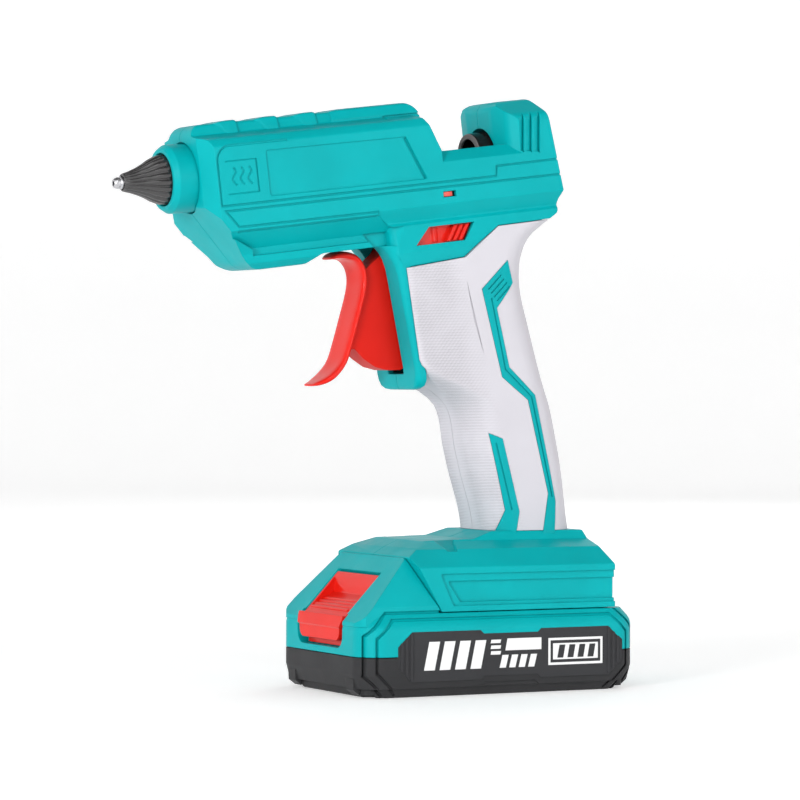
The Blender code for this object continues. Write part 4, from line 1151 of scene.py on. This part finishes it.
def screw(name, middle, along, head_at, tip_at, driver):
    """A pan-head screw with a cross recess, its head at one end of the axis."""
    step = 1 if head_at > tip_at else -1
    profile = [(head_at, 0), (head_at, HEAD_RADIUS * 0.62), (head_at - step * 0.35, HEAD_RADIUS * 0.86),
               (head_at - step * 0.9, HEAD_RADIUS), (head_at - step * 2.0, HEAD_RADIUS),
               (head_at - step * 2.0, THREAD_RADIUS), (tip_at + step * 1.2, THREAD_RADIUS), (tip_at, 0.4),
               (tip_at, 0)]
    piece = turned(name, profile, middle, along, steps=48)
    place = Matrix.Translation(Vector(middle) * MM) @ AXIS_TURNS[along]
    bottom, top = sorted((head_at + step * 0.5, head_at - step * driver))
    reach = 0.62 * HEAD_RADIUS
    for y, z in ((0.42, reach), (reach, 0.42)):
        cut(piece, tool(box, (bottom, -y, -z), (top, y, z), place))
    return smooth(bake(piece), 30)


PACK_SCREWS = [(-51.4, -27.0), (-51.4, 27.0), (51.4, -27.0), (51.4, 27.0)]


def screw_pieces():
    for name, (x, z, _) in HOUSING_SCREWS.items():
        piece = screw(f"{name}_fine", (x, 0, z), "Y", 10.4, -9.5, 1.3)
        place_piece(piece, "housing", "steel", name)
    for index, (x, y) in enumerate(PACK_SCREWS, start=1):
        piece = screw(f"pack_screw_{index}_fine", (x, y, 0), "Z", 1.2, 21.4, 1.2)
        place_piece(piece, "battery_pack", "steel", f"pack_screw_{index}")


# ---------------------------------------------------------------- battery pack
PLATE = [
    (-38.5, 24.3), (-44.5, 18.8), (-44.5, 11.3), (-38.5, 5.8), (-10.0, 5.8), (-8.6, 7.1), (13.8, 7.1),
    (15.2, 5.8), (44.2, 5.8), (50.2, 11.3), (50.2, 18.8), (44.2, 24.3), (15.2, 24.3), (13.8, 23.0),
    (-8.6, 23.0), (-10.0, 24.3),
]
PLATE_Y = 36.6
SIDE_NAMES = {-1: "left", 1: "right"}


def inner_ring(z, wall, half_width, radius):
    """A ring of the hollow, its wall thickness given at the pack's ends."""
    return rounded_ring(wall - PACK_HALF_LENGTH, PACK_HALF_LENGTH - wall, half_width, radius, z)


def pack_ring(z, shrink_x, shrink_y, radius):
    return rounded_ring(-PACK_HALF_LENGTH + shrink_x, PACK_HALF_LENGTH - shrink_x,
                        PACK_HALF_WIDTH - shrink_y, radius, z, 8)


PACK_SKIN = ((-2.0, 6.0, 5.0, 8.0), (3.2, 3.9, 2.6, 9.2), (3.4, 1.2, 1.0, 9.6), (8.0, 0.2, 0.2, 10.0),
             (24.6, 0.0, 0.0, 10.0), (26.0, 0.25, 0.4, 9.8), (27.2, 0.8, 1.1, 9.4), (30.4, 3.7, 3.6, 7.0),
             (34.0, 5.0, 5.0, 7.0))


def flank_grooves(side):
    """Two nested octagons let into the pack's flank, to an even depth also round its corners."""
    core = tool(loft, [pack_ring(z, x + 0.8, y + 0.8, radius) for z, x, y, radius in PACK_SKIN])
    grooves = []
    for inset, low, high, cut_low, cut_high in ((2.0, -1.2, 30.9, 9.4, 8.2), (5.8, 0.9, 28.4, 8.4, 6.6)):
        left, right = -PACK_HALF_LENGTH + inset, PACK_HALF_LENGTH - inset
        path = [(left + cut_low, low), (left, low + cut_low), (left, high - cut_high),
                (left + cut_high, high), (right - cut_high, high), (right, high - cut_high),
                (right, low + cut_low), (right - cut_low, low)]
        groove = tool(side_prism, ribbon(path, 1.0), side * 24.0, side * 45.0)
        cut(groove, core)
        grooves.append(groove)
    return grooves


def plate_pocket(side):
    outline = offset_outline(PLATE, 0.3)
    return [tool(side_prism, outline, side * 34.8, side * 45.0)]


def pack_case():
    case = loft("pack_case_shell", [pack_ring(*row) for row in (
        (0.0, 5.6, 4.6, 8.0), (0.5, 5.0, 4.0, 8.6), *PACK_SKIN[1:4], (9.0, 0.0, 0.0, 10.0),
        (PACK_SPLIT_Z - SEAM, 0.0, 0.0, 10.0),
    )])
    inside = tool(loft, [inner_ring(2.6, 6.0, 32.4, 6.0), inner_ring(7.0, 2.6, 33.2, 7.0),
                         inner_ring(20.0, 2.6, 33.2, 7.0)])
    cut(case, inside)
    for x, y in PACK_SCREWS:
        join(case, tool(rod, 1.0, PACK_SPLIT_Z - SEAM, 3.3, (x, y, 0), "Z"))
        cut(case, tool(rod, -2.0, 20.0, 1.65, (x, y, 0), "Z"), tool(rod, -3.0, 3.6, 3.0, (x, y, 0), "Z"))
    for side in (-1, 1):
        cut(case, *plate_pocket(side))
        cut(case, *flank_grooves(side))
        slot = fillet([(-9.6, 3.6, 0.5), (-8.2, 4.9, 0.5), (13.4, 4.9, 0.5), (14.8, 3.6, 0.5), (14.8, 2.6),
                       (-9.6, 2.6)], 3)
        cut(case, tool(side_prism, slot, side * 34.9, side * 45))
    for x in (-1, 1):
        for y in (-24.0, 24.0):
            foot = tool(side_prism, fillet([(x * 55.0, 1.0), (x * 57.6, 3.0), (x * 57.8, 7.0),
                                            (x * 55.0, 9.0)]), y - 3.0, y + 3.0)
            join(case, foot)
    bake(case)
    return soften(case, 0.3, angle=33)


def pack_cover():
    cover = loft("pack_cover_shell", [pack_ring(*row) for row in (
        (PACK_SPLIT_Z + SEAM, 0.0, 0.0, 10.0), *PACK_SKIN[4:8],
    )])
    section = fillet([(0, 51.0), (24.2, 51.0, 1.6), (26.6, 49.4, 2.0), (32.7, 33.0, 1.5), (33.0, 26.0),
                      (0, 26.0)])
    front = long_prism("front_block", section, -60.0, -20.0)
    outline = fillet([(-58.0, 25.0), (-58.0, 27.3, 0.8), (-37.2, 49.2, 1.2), (-36.2, 50.4), (-25.2, 31.6),
                      (-25.2, 25.0)])
    plan = fillet([(-58.0, -36.0, 9.5), (-58.0, 36.0, 9.5), (-20.0, 36.0), (-20.0, -36.0)], 8)
    trim(front, outline, plan)
    neck = box("rail_bottom", (-32.0, -18.6, 28.0), (42.0, 18.6, 38.0))
    head = box("rail_top", (-34.0, -22.6, 36.7), (42.0, 22.6, 43.8))
    join(cover, front, neck, head)
    room = tool(loft, [inner_ring(12.0, 2.6, 33.2, 7.0), inner_ring(24.0, 2.6, 33.2, 7.0),
                       inner_ring(28.0, 5.6, 30.2, 6.0)])
    guard = tool(side_prism, [(-60, 10), (-60, 40), (-36, 40), (-47.4, 16.0), (-47.4, 10)], -19.4, 19.4)
    cut(room, guard)
    cut(cover, room, tool(box, (10.0, -15.0, 26.0), (39.4, 15.0, 36.2)))
    for side in (-1, 1):
        cut(cover, tool(box, (14.0, side * 8.0 - 1.8, 34.0), (46.0, side * 8.0 + 1.8, 46.0)))
        cut(cover, *plate_pocket(side))
        cut(cover, *flank_grooves(side))
    pocket = [(-41.2, 44.6), (-34.9, 37.4), (-47.2, 23.8), (-49.4, 20.4), (-70.0, 20.4), (-70.0, 48.0)]
    front_slot = fillet([(0, 30.0), (18.6, 30.0), (18.6, 17.5, 4.5), (0, 17.5)], 8)
    cut(cover, tool(side_prism, pocket, -17.4, 17.4), tool(long_prism, front_slot, -70.0, -53.0),
        tool(box, (-55.3, -16.2, 12.0), (-52.1, 16.2, 24.0)), tool(rod, 18.1, 34.0, 3.0, (-47.5, 0, 0), "Z"))
    for x, y in PACK_SCREWS:
        join(cover, tool(rod, PACK_SPLIT_Z + SEAM, 27.6, 3.3, (x, y, 0), "Z"))
        cut(cover, tool(rod, 10.0, 24.0, 1.65, (x, y, 0), "Z"))
    bake(cover)
    return soften(cover, 0.35, angle=33)


def plate_piece(side):
    """The charcoal side plate: upright ribs at both ends."""
    plate = side_prism(f"{SIDE_NAMES[side]}_pack_plate_fine", PLATE, side * 35.1, side * (PLATE_Y - 0.35))
    for index in range(3):
        for x, sign in ((-38.6, -1), (44.3, 1)):
            at = x + sign * index * 2.0
            top = 23.6 - index * 1.75
            low = 30.1 - top
            rib = fillet([(at - 0.55, low, 0.4), (at - 0.55, top, 0.4), (at + 0.55, top, 0.4),
                          (at + 0.55, low, 0.4)], 3)
            join(plate, tool(side_prism, rib, side * 36.0, side * PLATE_Y))
    bake(plate)
    return soften(plate, 0.2, angle=33)


def print_band(name, outline, side):
    return side_prism(name, outline, side * (PLATE_Y - 0.4), side * (PLATE_Y - 0.22))


def level_marks(side):
    """Plain print in place of any wording: a charge-level bar, slanted dashes and an outlined bar."""
    shapes = [slanted(-33.6 + index * 6.4, 9.9, 20.3, 4.4, 2.2) for index in range(4)]
    shapes += [slanted(-6.0, high - 1.3, high, 4.1, 0.3) for high in (20.3, 18.2, 16.1)]
    shapes.append([(0.2, 16.2), (1.1, 20.6), (15.4, 20.6), (15.4, 16.2)])
    shapes += [slanted(-2.2 + index * 4.0, 9.9, 14.6, 2.6, 1.2) for index in range(4)]
    for index, shape in enumerate(shapes):
        piece = print_band(f"{SIDE_NAMES[side]}_print_{index + 1}", shape, side)
        place_piece(piece, "battery_pack", "print")
    corners = rectangle(18.4, 20.2, 41.6, 10.2)
    ring = print_band(f"{SIDE_NAMES[side]}_print_frame", corners, side)
    cut(ring, tool(side_prism, offset_outline(corners, -0.9), side * 30, side * 45))
    bake(ring)
    place_piece(ring, "battery_pack", "print")
    bar = offset_outline(corners, -2.0)
    inner = print_band(f"{SIDE_NAMES[side]}_print_bar", bar, side)
    for index in range(4):
        gap = slanted(22.2 + index * 4.3, 12.8, 17.6, 2.6, 0.9)
        cut(inner, tool(side_prism, gap, side * 30, side * 45))
    bake(inner)
    place_piece(inner, "battery_pack", "print")


def release_button():
    """A framed dish with fine ribs, a wider lip below it and a tongue that runs on behind the wall."""
    outline = fillet([(-41.7, 44.0, 0.4), (-55.9, 28.9), (-57.6, 29.3, 0.3), (-58.8, 25.2, 0.4),
                      (-58.2, 24.5), (-58.2, 20.0, 0.4), (-55.0, 20.0), (-52.0, 25.0), (-39.7, 38.0)], 4)
    button = side_prism("release_button_moulded", outline, -17.0, 17.0)
    lip = [(-55.4, 29.0), (-57.6, 29.3), (-58.8, 25.2), (-55.4, 25.0)]
    join(button, tool(side_prism, lip, -18.1, 18.1))
    face = fillet([(0, 50.0), (18.1, 50.0), (18.1, 27.8, 0.6), (17.0, 25.0), (16.4, 24.4), (16.4, 20.0, 3.4),
                   (0, 20.0)])
    keep_only(button, tool(long_prism, face, -65.0, -30.0))
    scoop = fillet([(-43.5, 47.0), (-44.2, 36.2, 1.0), (-57.2, 29.3), (-64.0, 31.0), (-60.0, 48.0)], 4)
    cut(button, tool(side_prism, scoop, -15.8, 15.8))
    for index in range(4):
        x = -48.4 - index * 1.8
        z = 34.0 - index * 0.96
        join(button, tool(rod, -15.2, 15.2, 0.6, (x, 0, z - 0.15), steps=20))
    join(button, tool(box, (-54.8, -15.6, 17.9), (-52.6, 15.6, 24.0)))
    cut(button, tool(rod, 15.0, 32.3, 2.7, (-47.5, 0, 0), "Z"))
    bake(button)
    return soften(button, 0.3, angle=30)


def pack_pieces():
    place_piece(pack_case(), "battery_pack", "charcoal", "pack_lower_case")
    place_piece(pack_cover(), "battery_pack", "teal", "pack_upper_cover")
    for side, name in SIDE_NAMES.items():
        place_piece(plate_piece(side), "battery_pack", "plate", f"{name}_pack_plate")
        level_marks(side)
    place_piece(release_button(), "pack_release", "red", "release_button")


# ---------------------------------------------------------------- stage
CAMERA_AZIMUTH = -27.5
CAMERA_ELEVATION = 0.4
CAMERA_ROLL = 0.2
CAMERA_AT = Vector((-644.8, -1190.8, 117.3)) * MM
LENS_MM = 162.0
SENSOR_MM = 36.0
LIT_POINT = Vector((0.0, 0.0, 0.12))


def add_camera():
    data = bpy.data.cameras.new("studio_camera")
    data.lens = LENS_MM
    data.sensor_width = SENSOR_MM
    data.clip_start = 0.05
    camera = linked("studio_camera", data)
    azimuth, elevation = math.radians(CAMERA_AZIMUTH), math.radians(CAMERA_ELEVATION)
    back = Vector((math.sin(azimuth) * math.cos(elevation), -math.cos(azimuth) * math.cos(elevation),
                   math.sin(elevation)))
    right = Vector((0, 0, 1)).cross(back).normalized()
    up = back.cross(right)
    turn = Matrix((right, up, back)).transposed() @ Matrix.Rotation(math.radians(CAMERA_ROLL), 3, "Z")
    camera.matrix_world = Matrix.Translation(CAMERA_AT) @ turn.to_4x4()
    bpy.context.scene.camera = camera


def add_light(name, place, size, energy):
    data = bpy.data.lights.new(name, "AREA")
    data.shape = "DISK"
    data.size = size
    data.energy = energy
    light = linked(name, data)
    light.location = place
    light.rotation_euler = (LIT_POINT - Vector(place)).to_track_quat("-Z", "Y").to_euler()


def add_floor(material):
    """One sheet, facing inwards: a level floor that curves up into a backdrop all round."""
    bm = bmesh.new()
    rings = []
    profile = [(0.4, 0.0), (1.2, 0.0), (2.0, 0.0), (2.8, 0.0), (3.4, 0.05), (3.8, 0.2), (4.1, 0.5),
               (4.2, 1.0), (4.2, 4.0)]
    for radius, height in profile:
        rings.append([bm.verts.new((radius * math.cos(math.tau * i / 72),
                                    radius * math.sin(math.tau * i / 72), height)) for i in range(72)])
    bm.faces.new(rings[0])
    for lower, upper in zip(rings, rings[1:]):
        for i in range(72):
            j = (i + 1) % 72
            bm.faces.new((lower[i], upper[i], upper[j], lower[j]))
    floor = linked("studio_floor", mesh_from("studio_floor", bm))
    floor.data.shade_smooth()
    floor.data.materials.append(material)


def add_stage():
    paper = moulded("studio_paper", (0.9, 0.9, 0.9), 0.95, 0.0, 2.0, variation=0.004)
    glow = paper.node_tree.nodes["Principled BSDF"]
    glow.inputs["Emission Color"].default_value = (1.0, 1.0, 1.0, 1.0)
    glow.inputs["Emission Strength"].default_value = 0.36
    add_floor(paper)
    world = bpy.data.worlds.new("studio_world")
    world.use_nodes = True
    background = world.node_tree.nodes["Background"]
    background.inputs["Color"].default_value = (1.0, 1.0, 1.0, 1.0)
    background.inputs["Strength"].default_value = 0.16
    bpy.context.scene.world = world
    add_light("key", (-1.6, -1.1, 0.45), 0.42, 16)
    add_light("side_fill", (0.5, -1.8, 0.3), 0.8, 4.2)
    add_light("upper_front", (-0.7, -0.9, 1.25), 0.3, 1.5)
    add_light("back_rim", (1.2, 1.2, 0.9), 0.8, 5)
    bpy.context.scene.view_settings.view_transform = "Standard"


def finish_cad_nodes():
    """Gives every node that stays visible its procedural finish."""
    for name, obj in frame["nodes"].items():
        obj.data.materials.clear()
        obj.data.materials.append(materials[CAD_FINISH[NODE_SLOTS[name]]])


# Springs that shorten as their joint moves, here copied whole from their nodes without shortening: piece, node,
# body, joint, height of the fixed end in metres, share kept
COILS = [
    ("trigger_coil", "trigger_spring", "housing", "trigger_squeeze", 0.1717, 0.5),
    ("release_coil", "release_spring", "battery_pack", "release_press", 0.0184, 0.78),
]


def coil_pieces():
    for name, node, body, joint, fixed_end, keep in COILS:
        coil = linked(name, frame["nodes"][node].data.copy())
        place_piece(coil, body, "steel", node)
        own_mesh(coil)


def main():
    add_camera()
    add_stage()
    finish_cad_nodes()
    housing_pieces()
    grip_pieces()
    nozzle_pieces()
    guide_pieces()
    trigger_pieces()
    knob_pieces()
    screw_pieces()
    pack_pieces()
    coil_pieces()


main()
